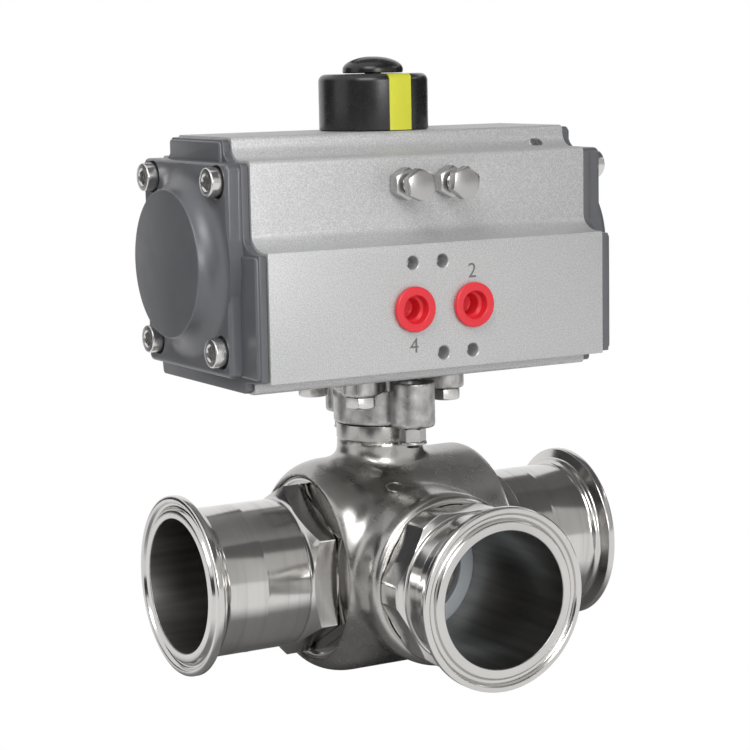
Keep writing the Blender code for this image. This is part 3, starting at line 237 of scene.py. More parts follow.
# %% [markdown]
# The finishes come next. Each material reads Object coordinates, which are the frame's own metres here, so
# a grain that is 0.2 mm on the real surface is a noise of about 5000 per metre. Where a lathe or a belt has
# left lines, the noise is stretched across them with a Mapping node.

# %% Helpers for node trees


def mix_colours(tree, factor, first, second):
    """A blend of two colours; each is a tuple or another node's output."""
    mix = tree.nodes.new("ShaderNodeMix")
    mix.data_type = "RGBA"
    for name, colour in (("A", first), ("B", second)):
        if isinstance(colour, tuple):
            mix.inputs[name].default_value = (*colour, 1)
        else:
            tree.links.new(colour, mix.inputs[name])
    tree.links.new(factor, mix.inputs["Factor"])
    return mix.outputs["Result"]


def map_range(tree, value, low, high, start=0.0, end=1.0):
    """Map the numbers from start to end onto those from low to high."""
    ramp = tree.nodes.new("ShaderNodeMapRange")
    ramp.inputs["From Min"].default_value = start
    ramp.inputs["From Max"].default_value = end
    ramp.inputs["To Min"].default_value = low
    ramp.inputs["To Max"].default_value = high
    tree.links.new(value, ramp.inputs["Value"])
    return ramp.outputs["Result"]


def distance_from_origin(tree, scale):
    """A point's distance from the origin in metres, after each coordinate is multiplied by its scale."""
    place = tree.nodes.new("ShaderNodeTexCoord")
    scaled = tree.nodes.new("ShaderNodeVectorMath")
    scaled.operation = "MULTIPLY"
    scaled.inputs[1].default_value = scale
    length = tree.nodes.new("ShaderNodeVectorMath")
    length.operation = "LENGTH"
    tree.links.new(place.outputs["Object"], scaled.inputs[0])
    tree.links.new(scaled.outputs["Vector"], length.inputs[0])
    return length.outputs["Value"]


def tinted(colour, share):
    return tuple(value * share for value in colour)


print("node helpers ready")

# %% Helper for finishes


class Finish:
    """A Principled material with short calls for the few nodes that these finishes use."""

    def __init__(self, name, colour, metallic, roughness):
        self.material = bpy.data.materials.new(name)
        self.material.use_nodes = True
        self.tree = self.material.node_tree
        self.add, self.link = self.tree.nodes.new, self.tree.links.new
        self.shader = self.tree.nodes["Principled BSDF"]
        self.colour = colour
        self.roughness = roughness
        self.shader.inputs["Base Color"].default_value = (*colour, 1)
        self.shader.inputs["Metallic"].default_value = metallic
        self.shader.inputs["Roughness"].default_value = roughness
        self.place = self.add("ShaderNodeTexCoord")
        self.normal = None

    def noise(self, scale, stretch=(1, 1, 1), detail=3.0, rough=0.55):
        mapping = self.add("ShaderNodeMapping")
        mapping.inputs["Scale"].default_value = stretch
        texture = self.add("ShaderNodeTexNoise")
        texture.inputs["Scale"].default_value = scale
        texture.inputs["Detail"].default_value = detail
        texture.inputs["Roughness"].default_value = rough
        self.link(self.place.outputs["Object"], mapping.inputs["Vector"])
        self.link(mapping.outputs["Vector"], texture.inputs["Vector"])
        return texture.outputs["Fac"]

    def spread(self, value, low, high, start=0.3, end=0.7):
        """Map the middle of a noise onto a range of numbers."""
        return map_range(self.tree, value, low, high, start, end)

    def vary_roughness(self, value, amount):
        varied = self.spread(value, self.roughness - amount, self.roughness + amount)
        self.link(varied, self.shader.inputs["Roughness"])

    def vary_colour(self, value, other, start=0.35, end=0.65):
        """Mix the base colour with another by a noise."""
        mixed = mix_colours(self.tree, self.spread(value, 0, 1, start, end), self.colour, other)
        self.link(mixed, self.shader.inputs["Base Color"])

    def outside_bore(self, axis, radius):
        """1 outside a radius round the axis and 0 inside it."""
        distance = distance_from_origin(self.tree, [0.0 if letter == axis else 1.0 for letter in "XYZ"])
        return self.spread(distance, 0, 1, (radius - 0.1) * MM, (radius + 0.1) * MM)

    def shade(self, mask, rings, lines, dark, dull):
        """Ringed steel where the mask is 1; where it is 0, duller steel with lines, darkened as painted
        shade.
        """
        inner = mix_colours(self.tree, self.spread(lines, 0, 1, 0.35, 0.65),
                            tinted(dark, DARK_LINE), tinted(dark, PALE_LINE))
        outer = mix_colours(self.tree, self.spread(rings, 0, 1, 0.45, 0.75),
                            self.colour, tinted(self.colour, RING))
        self.link(mix_colours(self.tree, mask, inner, outer), self.shader.inputs["Base Color"])
        self.link(self.spread(mask, dull, self.roughness, 0, 1), self.shader.inputs["Roughness"])

    def bump(self, value, height_mm, strength=1.0):
        node = self.add("ShaderNodeBump")
        node.inputs["Distance"].default_value = height_mm * MM
        node.inputs["Strength"].default_value = strength
        self.link(value, node.inputs["Height"])
        if self.normal:
            self.link(self.normal, node.inputs["Normal"])
        self.normal = node.outputs["Normal"]
        self.link(self.normal, self.shader.inputs["Normal"])


DARK_LINE, PALE_LINE, RING = 0.66, 0.95, 0.82
ACROSS = {"X": (1, 0.04, 0.04), "Y": (0.04, 1, 0.04), "Z": (0.04, 0.04, 1)}
ALONG = {"X": (0.05, 1, 1), "Y": (1, 0.05, 1), "Z": (1, 1, 0.05)}
print("finish helper ready")

# %% Steel finishes
STEEL = (0.62, 0.608, 0.592)
# Inside the bore the steel's colour is darker: painted shade in the tube. The bore is also duller.
SHADED_BORE_STEEL = (0.40, 0.392, 0.378)
DULL_SHADED_BORE_R, BORE_ROUGHNESS = 24.2, 0.33


def polished(name, axis, roughness=0.15):
    """Mirror-turned steel with faint rings round its axis; its bore is duller and darkened as painted shade.
    """
    finish = Finish(name, STEEL, 1.0, roughness)
    rings = finish.noise(1500, ACROSS[axis], detail=4)
    finish.bump(rings, 0.012, 0.5)
    tints = finish.noise(420, ACROSS[axis], detail=5)
    lines = finish.noise(260, ALONG[axis], detail=5)
    finish.shade(finish.outside_bore(axis, DULL_SHADED_BORE_R), tints, lines, SHADED_BORE_STEEL, BORE_ROUGHNESS)
    return finish.material


def satin(name, axis, colour=STEEL, roughness=0.3):
    """Turned or ground steel, its lines easier to see."""
    finish = Finish(name, colour, 1.0, roughness)
    finish.vary_roughness(finish.noise(400, ACROSS[axis], detail=4), 0.07)
    finish.bump(finish.noise(2600, ACROSS[axis], detail=3), 0.02, 0.6)
    return finish.material


def body_steel():
    """Hand-polished casting: soft waves, darker cloudy patches and a fine grain."""
    finish = Finish("hand_polished_casting", (0.36, 0.348, 0.333), 1.0, 0.27)
    finish.vary_colour(finish.noise(45, detail=6), (0.50, 0.488, 0.47))
    finish.vary_roughness(finish.noise(90, detail=5), 0.07)
    finish.bump(finish.noise(55, detail=2), 0.28, 0.5)
    finish.bump(finish.noise(1500, detail=3), 0.010, 0.5)
    return finish.material


def cast_steel():
    """Investment casting, tumbled: fine pits and a satin shine."""
    finish = Finish("tumbled_casting", (0.50, 0.495, 0.485), 1.0, 0.34)
    finish.vary_colour(finish.noise(260, detail=6), (0.33, 0.325, 0.32))
    finish.vary_roughness(finish.noise(500, detail=4), 0.08)
    finish.bump(finish.noise(900, detail=4), 0.09, 0.7)
    finish.bump(finish.noise(150, detail=3), 0.20, 0.5)
    return finish.material


polished_x = polished("polished_steel_along_x", "X")
polished_y = polished("polished_steel_along_y", "Y")
polished_z = polished("polished_steel_along_z", "Z", 0.12)
satin_z = satin("satin_steel_along_z", "Z")
screw_steel = satin("bright_screws", "X", (0.66, 0.65, 0.64), 0.24)
bolt_steel = satin("bright_bolts", "Y", (0.47, 0.465, 0.455), 0.27)
dark_steel = satin("oiled_spring_steel", "Z", (0.20, 0.20, 0.20), 0.38)
body_metal = body_steel()
cast_metal = cast_steel()
print("steel finishes: 9")

# %% Aluminium, paint, plastic and rubber finishes


def blasted_aluminium():
    """Hard anodised after blasting: pale grey with a grain of about a third of a millimetre."""
    finish = Finish("blasted_anodised_aluminium", (0.46, 0.463, 0.463), 0.40, 0.48)
    grain = finish.noise(2400, detail=2)
    finish.vary_colour(grain, (0.64, 0.643, 0.643), 0.38, 0.64)
    finish.vary_roughness(finish.noise(30, detail=3), 0.04)
    finish.bump(grain, 0.035, 0.55)
    return finish.material


def cover_paint():
    """Dark grey satin coating on a casting, with a slight orange peel."""
    finish = Finish("satin_grey_coating", (0.138, 0.140, 0.152), 0.25, 0.36)
    finish.vary_roughness(finish.noise(120, detail=4), 0.05)
    finish.bump(finish.noise(700, detail=2), 0.03, 0.5)
    return finish.material


def plain_finish(name, colour, roughness, grain, height, metallic=0.0, spread=0.04):
    finish = Finish(name, colour, metallic, roughness)
    finish.vary_roughness(finish.noise(grain / 8, detail=4), spread)
    finish.bump(finish.noise(grain, detail=3), height, 0.5)
    return finish.material


blasted = blasted_aluminium()
coating = cover_paint()
machined_aluminium = plain_finish("machined_aluminium", (0.55, 0.55, 0.55), 0.36, 1200, 0.03, 1.0)
fluoroplastic = plain_finish("white_fluoroplastic", (0.62, 0.66, 0.70), 0.42, 900, 0.02)
black_cap = plain_finish("black_satin_plastic", (0.014, 0.014, 0.015), 0.27, 1800, 0.025)
yellow = plain_finish("yellow_plastic", (0.66, 0.66, 0.045), 0.34, 1200, 0.015)
red = plain_finish("red_soft_plastic", (0.78, 0.030, 0.045), 0.34, 900, 0.02)
acetal = plain_finish("white_acetal", (0.70, 0.69, 0.64), 0.42, 900, 0.02)
rubber = plain_finish("black_rubber", (0.02, 0.02, 0.02), 0.6, 900, 0.04)
ink = plain_finish("engraved_mark", (0.16, 0.16, 0.16), 0.6, 900, 0.01)
print("other finishes: 10")

# %% [markdown]
# The pipe ends are the brightest pieces. Each one is a single turning: a hygienic clamp ferrule with its
# sealing groove, a short hub, and a tube that is welded to it. The run ends also carry a hexagon, and the
# bar stock's flats show as arcs where the chamfer at the end of the hexagon cuts them.

# %% Sizes of the pipe ends
FERRULE_R, HUB_R, TUBE_R, BORE_R = 32.0, 28.0, 26.5, 23.9
LAND, GROOVE_R = 2.8, 28.5
RUN_FACE, BRANCH_FACE = 83.2, 82.6
HEX_FLATS, HEX_CORNER_R = 54.0, 31.2
NOSE, NOSE_R, NOSE_TIP_R = 25.3, 26.0, 25.05
FLANGE_R, FLANGE_START, FLANGE_END = 33.4, 27.3, 31.2
SEAL_IN, SEAL_OUT, SEAL_FLOOR = 29.7, 32.7, 28.35
WAIST_R, WAIST_START, COLLAR_IN, TUBE_LOW_R = 31.6, 29.6, 25.5, TUBE_R - 0.1
RUN_WELD, BRANCH_WELD, RIGHT_HEX_OUT = 61.0, 69.0, 3.6


def moved(points, out):
    """The points of a profile, farther along the axis."""
    return [(point[0], point[1] + out) + point[2:] for point in points]


def nose():
    """The end that carries a seat inside the body."""
    return [(BORE_R, NOSE, 0.3), (NOSE_TIP_R, NOSE, 0.2), (NOSE_R, NOSE + NOSE_R - NOSE_TIP_R)]


def ferrule(face):
    """The outer end of a pipe end, from the tube to the bore. Each point has its own rounding."""
    hub_end = face - LAND - (FERRULE_R - HUB_R) * tan(radians(20))
    return [(TUBE_R, hub_end - 2.6, 1.0), (HUB_R, hub_end - 1.6, 0.7), (HUB_R, hub_end, 0.7),
            (FERRULE_R, face - LAND, 0.45), (FERRULE_R, face, 0.75), (GROOVE_R + 1.5, face, 0.4),
            (GROOVE_R + 0.7, face - 1.5, 0.5), (GROOVE_R - 0.7, face - 1.5, 0.5),
            (GROOVE_R - 1.5, face, 0.4), (BORE_R, face, 0.35)]


def weld_line(middle):
    """The polished weld between tube and ferrule hub, a shallow raised line."""
    return [(TUBE_R, middle - 1.1), (TUBE_R + 0.10, middle, 0.3), (TUBE_R, middle + 1.1)]


def collar(name, profile, axis):
    """A turned collar that is cut down to a hexagon bar."""
    piece = turned(name, profile, axis, steps=120)
    low = min(point[1] for point in profile) - 1
    high = max(point[1] for point in profile) + 1
    return keep(piece, bar("bar", hexagon(HEX_FLATS), low, high, axis, corner=0.25))


print("ferrule:", len(ferrule(RUN_FACE)), "corners")

# %% Run ends


def run_end(side, axis, out=0.0):
    """A run end. Its hexagon stands out from the body by a little more where out is given."""
    profile = nose() + [
        (NOSE_R, FLANGE_START), (SEAL_IN, FLANGE_START), (SEAL_IN, SEAL_FLOOR), (SEAL_OUT, SEAL_FLOOR),
        (SEAL_OUT, FLANGE_START), (FLANGE_R, FLANGE_START, 0.2)]
    profile += moved([
        (FLANGE_R, FLANGE_END, 0.35), (WAIST_R, FLANGE_END, 0.35), (WAIST_R, WAIST_START),
        (TUBE_LOW_R, WAIST_START), (TUBE_LOW_R, 44.0), (TUBE_R, 44.5, 0.2)], out)
    profile += weld_line(RUN_WELD) + ferrule(RUN_FACE)
    piece = turned(side + "_run_end", profile, axis, steps=128)
    low = collar("low_collar", moved([
        (COLLAR_IN, 29.0), (HEX_CORNER_R, 29.0), (HEX_CORNER_R, 33.4, 0.25), (COLLAR_IN, 33.4)], out), axis)
    high = collar("high_collar", moved([
        (COLLAR_IN, 34.2), (HEX_CORNER_R - 0.2, 34.2, 0.25), (HEX_CORNER_R, 34.5), (HEX_CORNER_R, 40.6, 0.3),
        (27.0, 43.0, 0.5), (26.2, 43.8), (COLLAR_IN, 43.8)], out), axis)
    join(piece, low, high)
    return show(piece, "valve", polished_x, "polished_steel", side + "_pipe_cap", angle=28)


run_ends = [run_end("left", "-X"), run_end("right", "+X", RIGHT_HEX_OUT)]
print("run ends:", [len(piece.data.vertices) for piece in run_ends])

# %% Branch end
BRANCH_JOINT = 48.1


def branch_end():
    start = BRANCH_JOINT + 0.3
    profile = nose() + [
        (NOSE_R, 36.0), (27.3, 36.0, 0.2), (27.3, start + 0.5), (TUBE_LOW_R, start + 0.5),
        (TUBE_LOW_R, 62.0), (TUBE_R, 62.5, 0.2)]
    profile += weld_line(BRANCH_WELD) + ferrule(BRANCH_FACE)
    piece = turned("branch_end", profile, "-Y", steps=128)
    ring = collar("ring", [
        (COLLAR_IN, start), (27.6, start, 0.2), (29.3, start + 1.0, 0.4), (29.3, 59.5, 0.5),
        (27.0, 60.8, 0.3), (26.8, 61.5), (COLLAR_IN, 61.8)], "-Y")
    join(piece, ring)
    return show(piece, "valve", polished_y, "polished_steel", "branch_pipe_cap", angle=28)


print("branch end:", len(branch_end().data.vertices), "vertices")

# %% [markdown]
# The valve body is one casting, polished by hand, so the barrel, the branch boss and the neck run into each
# other with soft fillets. Those are hard to get from a Boolean alone. The plain forms are joined, remeshed
# into an even net, and smoothed, most of all near the lines where they meet.

# %% Valve body
BARREL_R, BARREL_START, BARREL_END, RIGHT_END = 39.0, 19.8, 32.9, 36.2
BOSS_R, NECK_R, NECK_TOP, RING_TOP = 31.2, 15.7, 45.3, 51.2
SHOULDER, BOSS_EDGE, LIP_R, MOUTH_R, MOUTH_FLOOR = (8.0, 14.0), (2.7, 5.0), 33.6, 33.55, 27.0
BOSS_ROOT, NECK_ROOT, FAR = 8, 20, 99


def body_outside():
    wide, high = SHOULDER
    crest = degrees(asin((BARREL_END - 0.5 - BARREL_START) / high))
    left = [(r, -h) for r, h in arc((BARREL_R - wide, BARREL_START), SHOULDER, 0, crest, 14)]
    left += [(34.1, -BARREL_END), (LIP_R, -BARREL_END)]
    right = [(BARREL_R, RIGHT_END - 1.4), (BARREL_R - 0.4, RIGHT_END - 0.4), (37.9, RIGHT_END),
             (LIP_R, RIGHT_END)]
    around = [(0, -BARREL_END)] + left[::-1] + right + [(0, RIGHT_END)]
    barrel = turned("valve_casting", around, "+X", steps=160)
    wide, high = BOSS_EDGE
    rim = arc((BOSS_R - wide, BRANCH_JOINT - high), BOSS_EDGE, 0, 90, 8)
    boss = turned("boss", [(0, BOSS_ROOT), (BOSS_R, BOSS_ROOT)] + rim + [(0, BRANCH_JOINT)], "-Y", steps=160)
    neck = turned("neck", [(0, NECK_ROOT), (NECK_R, NECK_ROOT), (NECK_R, NECK_TOP, 0.4), (0, NECK_TOP)],
                  steps=120)
    return join(barrel, boss, neck)


def distance_to_join(point):
    """How far a point in millimetres is from the lines where the boss and the neck meet the barrel."""
    from_x = abs(sqrt(point.y ** 2 + point.z ** 2) - BARREL_R)
    from_y = abs(sqrt(point.x ** 2 + point.z ** 2) - BOSS_R)
    from_z = abs(sqrt(point.x ** 2 + point.y ** 2) - NECK_R)
    boss_line = max(from_x, from_y) if point.y < -BOSS_ROOT else FAR
    neck_line = max(from_x, from_z) if point.z > NECK_ROOT else FAR
    return min(boss_line, neck_line)


def even_net(piece, size):
    """Remesh a piece into a net of small even faces, and open it for smoothing."""
    remesh = piece.modifiers.new("net", "REMESH")
    remesh.mode = "VOXEL"
    remesh.voxel_size = size * MM
    apply_modifiers(piece)
    bm = bmesh.new()
    bm.from_mesh(piece.data)
    return bm


def relax(bm, verts):
    """Move vertices halfway towards their neighbours."""
    bmesh.ops.smooth_vert(bm, verts=verts, factor=0.5, use_axis_x=True, use_axis_y=True, use_axis_z=True)


def blend_joins(piece, reach, rounds):
    """Smooth a net near the joins, and the rest of it once."""
    bm = even_net(piece, 0.8)
    near = [v for v in bm.verts if distance_to_join(v.co / MM) < reach]
    closer = [v for v in near if distance_to_join(v.co / MM) < reach * 0.6]
    for i in range(rounds):
        relax(bm, near if i % 3 else closer)
    relax(bm, bm.verts)
    bm.to_mesh(piece.data)
    bm.free()
    return piece


def valve_casting():
    piece = blend_joins(body_outside(), reach=4.5, rounds=60)
    join(piece, turned("ring", [(0, 40), (15.3, 40), (15.3, NECK_TOP - 0.2), (15.8, NECK_TOP + 0.4, 0.2),
                                (15.8, RING_TOP, 0.3), (0, RING_TOP)], steps=120))
    half = [(29.2, MOUTH_FLOOR), (MOUTH_R, MOUTH_FLOOR, 0.2), (MOUTH_R, RIGHT_END + 2)]
    hollow = [(0, -RIGHT_END - 2)] + [(p[0], -p[1]) + p[2:] for p in reversed(half)] + half
    cut(piece, turned("hollow", hollow + [(0, RIGHT_END + 2)], "+X", steps=128))
    cut(piece, turned("branch", [(0, 1), (26.3, 1), (26.3, 34.3), (27.6, 34.3), (27.6, BRANCH_JOINT + 2),
                                 (0, BRANCH_JOINT + 2)], "-Y", steps=128))
    cut(piece, rod("blind", NOSE_TIP_R, 0, NOSE, "+Y"))
    cut(piece, turned("stem_way", [(0, 23), (11.8, 23), (11.8, 35.0), (9.3, 35.0), (9.3, 40.0), (13.0, 40.0),
                                   (13.0, RING_TOP + 1), (0, RING_TOP + 1)], steps=72))
    return show(piece, "valve", body_metal, "polished_steel", "valve_body", angle=40)


casting = valve_casting()
print("casting:", len(casting.data.vertices), "vertices")

# %% [markdown]
# Inside the ports one sees the ball and the pale seat rings. The ball's passage is made of two bores with
# round ends that meet in the middle, so that its bend is round on the outside.

# %% Ball and seats
BALL_R, PORT_R, SEAT_BACK = 28.5, 18.75, 25.0


def ball():
    piece = turned("l_port_ball", arc((0, 0), BALL_R, -90, 90, 60), steps=120)
    end = arc((0, 0), PORT_R, -90, 0, 16)
    bore = end + [(PORT_R, 21.1), (PORT_R + 3, 24.1), (PORT_R + 3, 30), (0, 30)]
    cut(piece, turned("bore", bore, "-Y", steps=96), turned("bore", bore, "+X", steps=96))
    cut(piece, bar("slot", rectangle(-20, 20, -4, 4), 22.0, 31))
    return show(piece, "rotor", polished_z, "polished_steel", "ball", angle=40)


def seat(side, axis):
    face_r = BALL_R + 0.3
    face = arc((0, 0), face_r, 45.4, degrees(acos(PORT_R / face_r)), 6)
    profile = face + [(PORT_R, SEAT_BACK, 0.3), (SEAT_BACK - 0.25, SEAT_BACK, 0.2)]
    piece = turned(side + "_seat_ring", profile, axis, steps=96)
    return show(piece, "valve", fluoroplastic, "ptfe", side + "_seat")


SEATS = (("left", "-X"), ("right", "+X"), ("branch", "-Y"), ("blind", "+Y"))
seats = [seat(side, axis) for side, axis in SEATS]
print("ball:", len(ball().data.vertices), "vertices; seats:", len(seats))

# %% [markdown]
# The bracket is a rough casting. Its tube, plate, lobes and bosses are joined, then remeshed and smoothed a
# little, which rounds every edge as tumbling does. The machined surfaces are cut afterwards, so the bores
# and the faces that seat stay crisp.

# %% Bracket
BOLT_CIRCLE_R = 25.0
BOLT_XY = BOLT_CIRCLE_R / sqrt(2)
BOLT_PLACES = [("front_left", -BOLT_XY, -BOLT_XY), ("front_right", BOLT_XY, -BOLT_XY),
               ("back_right", BOLT_XY, BOLT_XY), ("back_left", -BOLT_XY, BOLT_XY)]
PLATE_BASE, PLATE_TOP, BRACKET_BASE = 64.0, 70.1, 51.5
PLATE_HUB_R, LOBE_R, SLEEVE_R, SLEEVE_BORE_R = 18.4, 6.8, 16.7, 15.0
NECK_BOLT_Y, NECK_NUT_Y = 24, 23.6


def plate_outline():
    start = degrees(asin(LOBE_R / PLATE_HUB_R))
    outline = []
    for turn in (45, 135, 225, 315):
        outline += arc((0, 0), PLATE_HUB_R, turn - 90 + start, turn - start, 10)
        angle = radians(turn)
        outline += [(x * cos(angle) - y * sin(angle), x * sin(angle) + y * cos(angle))
                    for x, y in arc((BOLT_CIRCLE_R, 0), LOBE_R, -90, 90, 20)]
    return outline


def bracket():
    piece = turned("cast_bracket", [
        (0, BRACKET_BASE), (SLEEVE_R, BRACKET_BASE, 0.5), (SLEEVE_R, PLATE_BASE + 1), (0, PLATE_BASE + 1)],
        steps=120)
    join(piece, bar("plate", plate_outline(), PLATE_BASE, PLATE_TOP + 0.4, edge=0.5, ends="low"))
    for side in (-1, 1):
        join(piece, turned("boss", [(0, 52.0), (8.0, 52.0, 0.9), (8.0, 68.4), (0, 68.4)],
                           at=(0, side * NECK_BOLT_Y, 0), steps=72))
    bm = even_net(piece, 0.45)
    for _ in range(5):
        relax(bm, bm.verts)
    bm.to_mesh(piece.data)
    bm.free()
    cut(piece, bar("machined_top", rectangle(-40, 40, -40, 40), PLATE_TOP, 75))
    cut(piece, rod("bore", SLEEVE_BORE_R, 50, 72))
    for side in (-1, 1):
        cut(piece, turned("counterbore", [
            (0, 51), (2.8, 51), (2.8, 58), (5.2, 58), (5.2, 67.4), (5.6, 68.0), (9.0, 68.0), (9.0, 72),
            (0, 72)], at=(0, side * NECK_BOLT_Y, 0), steps=48))
    for _, x, y in BOLT_PLACES:
        cut(piece, turned("hole", [
            (0, 60), (7.0, 60), (7.0, PLATE_BASE), (3.3, PLATE_BASE), (3.3, 72), (0, 72)],
            at=(x, y, 0), steps=32))
    return show(piece, "valve", cast_metal, "cast_steel", "mounting_bracket", angle=40)


print("bracket:", len(bracket().data.vertices), "vertices")

# %% [markdown]
# Bolts, nuts and screws share three makers. A hexagon head is a short bar whose corners a cone has cut, a
# thread is a row of fine grooves, and a socket screw has a hexagonal socket with a lead-in.

# %% Fasteners
PITCH, THREAD_DEPTH, CONE_IN = 1.0, 0.55, 0.35
M6_HEX = (10.0, 4.0, 3.0)  # across the flats, height of the head, radius of the shank


def fasten(piece, finish, *replaced):
    show(piece, "valve", finish, "steel_fastener", *replaced)


def thread(radius, low, high):
    """The side of a threaded shank as profile points, crest and root in turn."""
    points = []
    for i in range(int((high - low) / PITCH)):
        points += [(radius, low + i * PITCH), (radius - THREAD_DEPTH * PITCH, low + (i + 0.5) * PITCH)]
    return points + [(radius, high)]


def hex_head(name, flats, height, axis, at, turn=0.0, both=False):
    """A hexagon whose corners are cut by a 30 degree cone on the side away from its seat."""
    corner = flats / sqrt(3)
    rise = (corner - flats / 2 + CONE_IN) * tan(radians(30))
    low = rise if both else 0
    piece = bar(name, hexagon(flats, turn), 0, height, axis, at, corner=0.12, edge=0.08, segments=2)
    cone = [(0, -0.01), (flats / 2 - CONE_IN if both else corner + 1, -0.01), (corner + 0.01, low),
            (corner + 0.01, height - rise), (flats / 2 - CONE_IN, height + 0.01), (0, height + 0.01)]
    return keep(piece, turned("cone", cone, axis, at, steps=72))


def hex_bolt(name, at, head_axis, flats, head, radius, length, turn=0.0):
    """A bolt whose head grows along head_axis from the point at; its shank runs the other way."""
    piece = hex_head(name, flats, head, head_axis, at, turn)
    side = thread(radius, -length, 0.3)
    shank = turned("shank", [(0, -length)] + side + [(0, 0.3)], head_axis, at, steps=40)
    return join(piece, shank)


def nut(name, at, axis, flats, height, hole, turn=0.0, flange=None):
    piece = hex_head(name, flats, height, axis, at, turn, both=flange is None)
    if flange:
        join(piece, turned("flange", [(0, 0), (flange, 0, 0.3), (flange, 1.0, 0.35), (flats / 2 - 0.3, 1.5),
                                      (0, 1.5)], axis, at, steps=56))
    return cut(piece, rod("hole", hole, -1, height + 1, axis, at, 32))


def socket_screw(name, at, axis, radius, head_r, head, length, key, depth):
    """A socket head cap screw whose shank runs along the axis from the seat of its head."""
    piece = turned(name, [(0, length)] + thread(radius, 0.4, length)[::-1] +
                   [(radius, 0), (head_r, 0, 0.15), (head_r, -head, 0.55), (0, -head)], axis, at, steps=64)
    lead = key / sqrt(3) + 0.25
    cut(piece, turned("lead", [(0, -head - 1), (lead, -head - 1), (lead, -head), (lead - 0.6, 0.5 - head),
                               (0, 0.5 - head)], axis, at, steps=40))
    return cut(piece, bar("key", hexagon(key), -head - 1, depth - head, axis, at))


def bracket_bolts():
    for place, x, y in BOLT_PLACES:
        bolt = hex_bolt("m6_bolt_" + place, (x, y, PLATE_BASE - 0.3), "-Z", *M6_HEX, 15.0, turn=8)
        fasten(bolt, satin_z, "bracket_bolt_" + place)
    for place, side in (("front", -1), ("back", 1)):
        screw = socket_screw("m5_screw_" + place, (0, side * NECK_BOLT_Y, 58.3), "-Z", radius=2.5,
                             head_r=4.25, head=5.0, length=13.9, key=4.0, depth=2.5)
        fasten(screw, satin_z, "neck_bolt_" + place)
        piece = nut("m5_nut_" + place, (0, side * NECK_NUT_Y, 45.6), "+Z", flats=8.4, height=6.1, hole=2.95,
                    turn=30, flange=5.1)
        fasten(piece, bolt_steel, "neck_nut_" + place)


bracket_bolts()
print("bracket fasteners: 8")

# %% [markdown]
# The housing is a length of extruded aluminium. Its section is drawn once, with the coves above and below
# the shoulder, and the end caps use the same section a little smaller.

# %% The housing's section
HOUSING_END, BORE_Z, SIDE_Y, BLOCK_Y = 67.9, 113.8, 34.3, 45.8
PORT_X, PORT_Z, STOP_X, STOP_Z = 12.0, 96.9, 9.0, 139.5
SCREW_HOLES = ((-12, 16), (0, 16), (0, -16), (12, -16))  # x and z from the middle of the two ports
PISTON_BORE_R = 31.5
SHAFT_WAYS = (("cam_pocket", 18.9, 124, 143.6), ("low_bearing", 14.4, 69, 100),
              ("top_bearing", 11.5, 130, 159))
EDGE, COVE, STEP_TOP, CRISP = 1.6, 5.5, 125.0, 0.4
TO_AXIS["YZ"] = Matrix(((0, 0, 1, 0), (1, 0, 0, 0), (0, 1, 0, 0), (0, 0, 0, 1)))


def section(inset=0.0):
    """The extrusion's outline as (y, z) points, from the top front edge round to the back."""
    base, top, side, block = 70.4 + inset, 157.2 - inset, SIDE_Y - inset, BLOCK_Y - inset
    ridge, block_top, shoulder, block_base = 21.1 - inset, 119.4 - inset, 149.6 - inset, 75.2 + inset
    lip = 33.8 - inset
    cove = arc((-ridge - COVE, shoulder + COVE), COVE, 0, -90, 12)
    outline = arc((-ridge + EDGE, top - EDGE), EDGE, 90, 180, 6) + cove
    outline += arc((-side + EDGE, shoulder - EDGE), EDGE, 90, 180, 6)
    outline += arc((-block + 2.0, STEP_TOP), (block - side - 2.0, STEP_TOP - block_top), 0, -90, 12)
    outline += arc((-block + CRISP, block_top - CRISP), CRISP, 90, 180, 3)
    outline += arc((-block + CRISP, block_base + CRISP), CRISP, 180, 270, 3)
    outline += [(-lip, block_base - 1.2)]
    outline += arc((-lip + EDGE, base + EDGE), EDGE, 180, 270, 5)
    outline += arc((lip - EDGE, base + EDGE), EDGE, 270, 360, 5)
    outline += [(side, block_base)] + arc((side - EDGE, shoulder - EDGE), EDGE, 0, 90, 6)
    outline += [(-y, z) for y, z in reversed(cove)] + arc((ridge - EDGE, top - EDGE), EDGE, 0, 90, 6)
    return outline


print("section:", len(section()), "points")

# %% Housing


def housing():
    piece = bar("extruded_housing", section(), -HOUSING_END, HOUSING_END, "YZ", edge=0.3, segments=2)
    cut(piece, rod("bore", PISTON_BORE_R, -70, 70, "+X", (0, 0, BORE_Z)))
    for way in SHAFT_WAYS:
        cut(piece, rod(*way, steps=72))
    for side in (-1, 1):
        cut(piece, drill(5.9, 11.0, 0.7, "+Y", (side * PORT_X, -BLOCK_Y, PORT_Z), 56))
        cut(piece, drill(3.3, 22.0, 0.4, "+Y", (side * STOP_X, -SIDE_Y, STOP_Z)))
    for x, z in SCREW_HOLES:
        cut(piece, drill(2.35, 7.0, 0.35, "+Y", (x, -BLOCK_Y, PORT_Z + z), 36, cone=1.2))
    return show(piece, "valve", blasted, "anodised_aluminium", "actuator_housing", angle=30)


housing_piece = housing()
print("housing:", len(housing_piece.data.vertices), "vertices")

# %% End caps
CAP_START, CAP_STEP, CAP_FACE, DOME_FACE = 68.2, 71.0, 76.3, 84.0
DOME_R, DOME_BASE_R, SPIGOT_R, SPIGOT_BORE_R = 25.7, 34.4, 31.2, 27.0
SCREW_PLACES = [("front_top", -25.5, 142.6), ("front_low", -25.5, 85.0), ("back_top", 25.5, 142.6),
                ("back_low", 25.5, 85.0)]
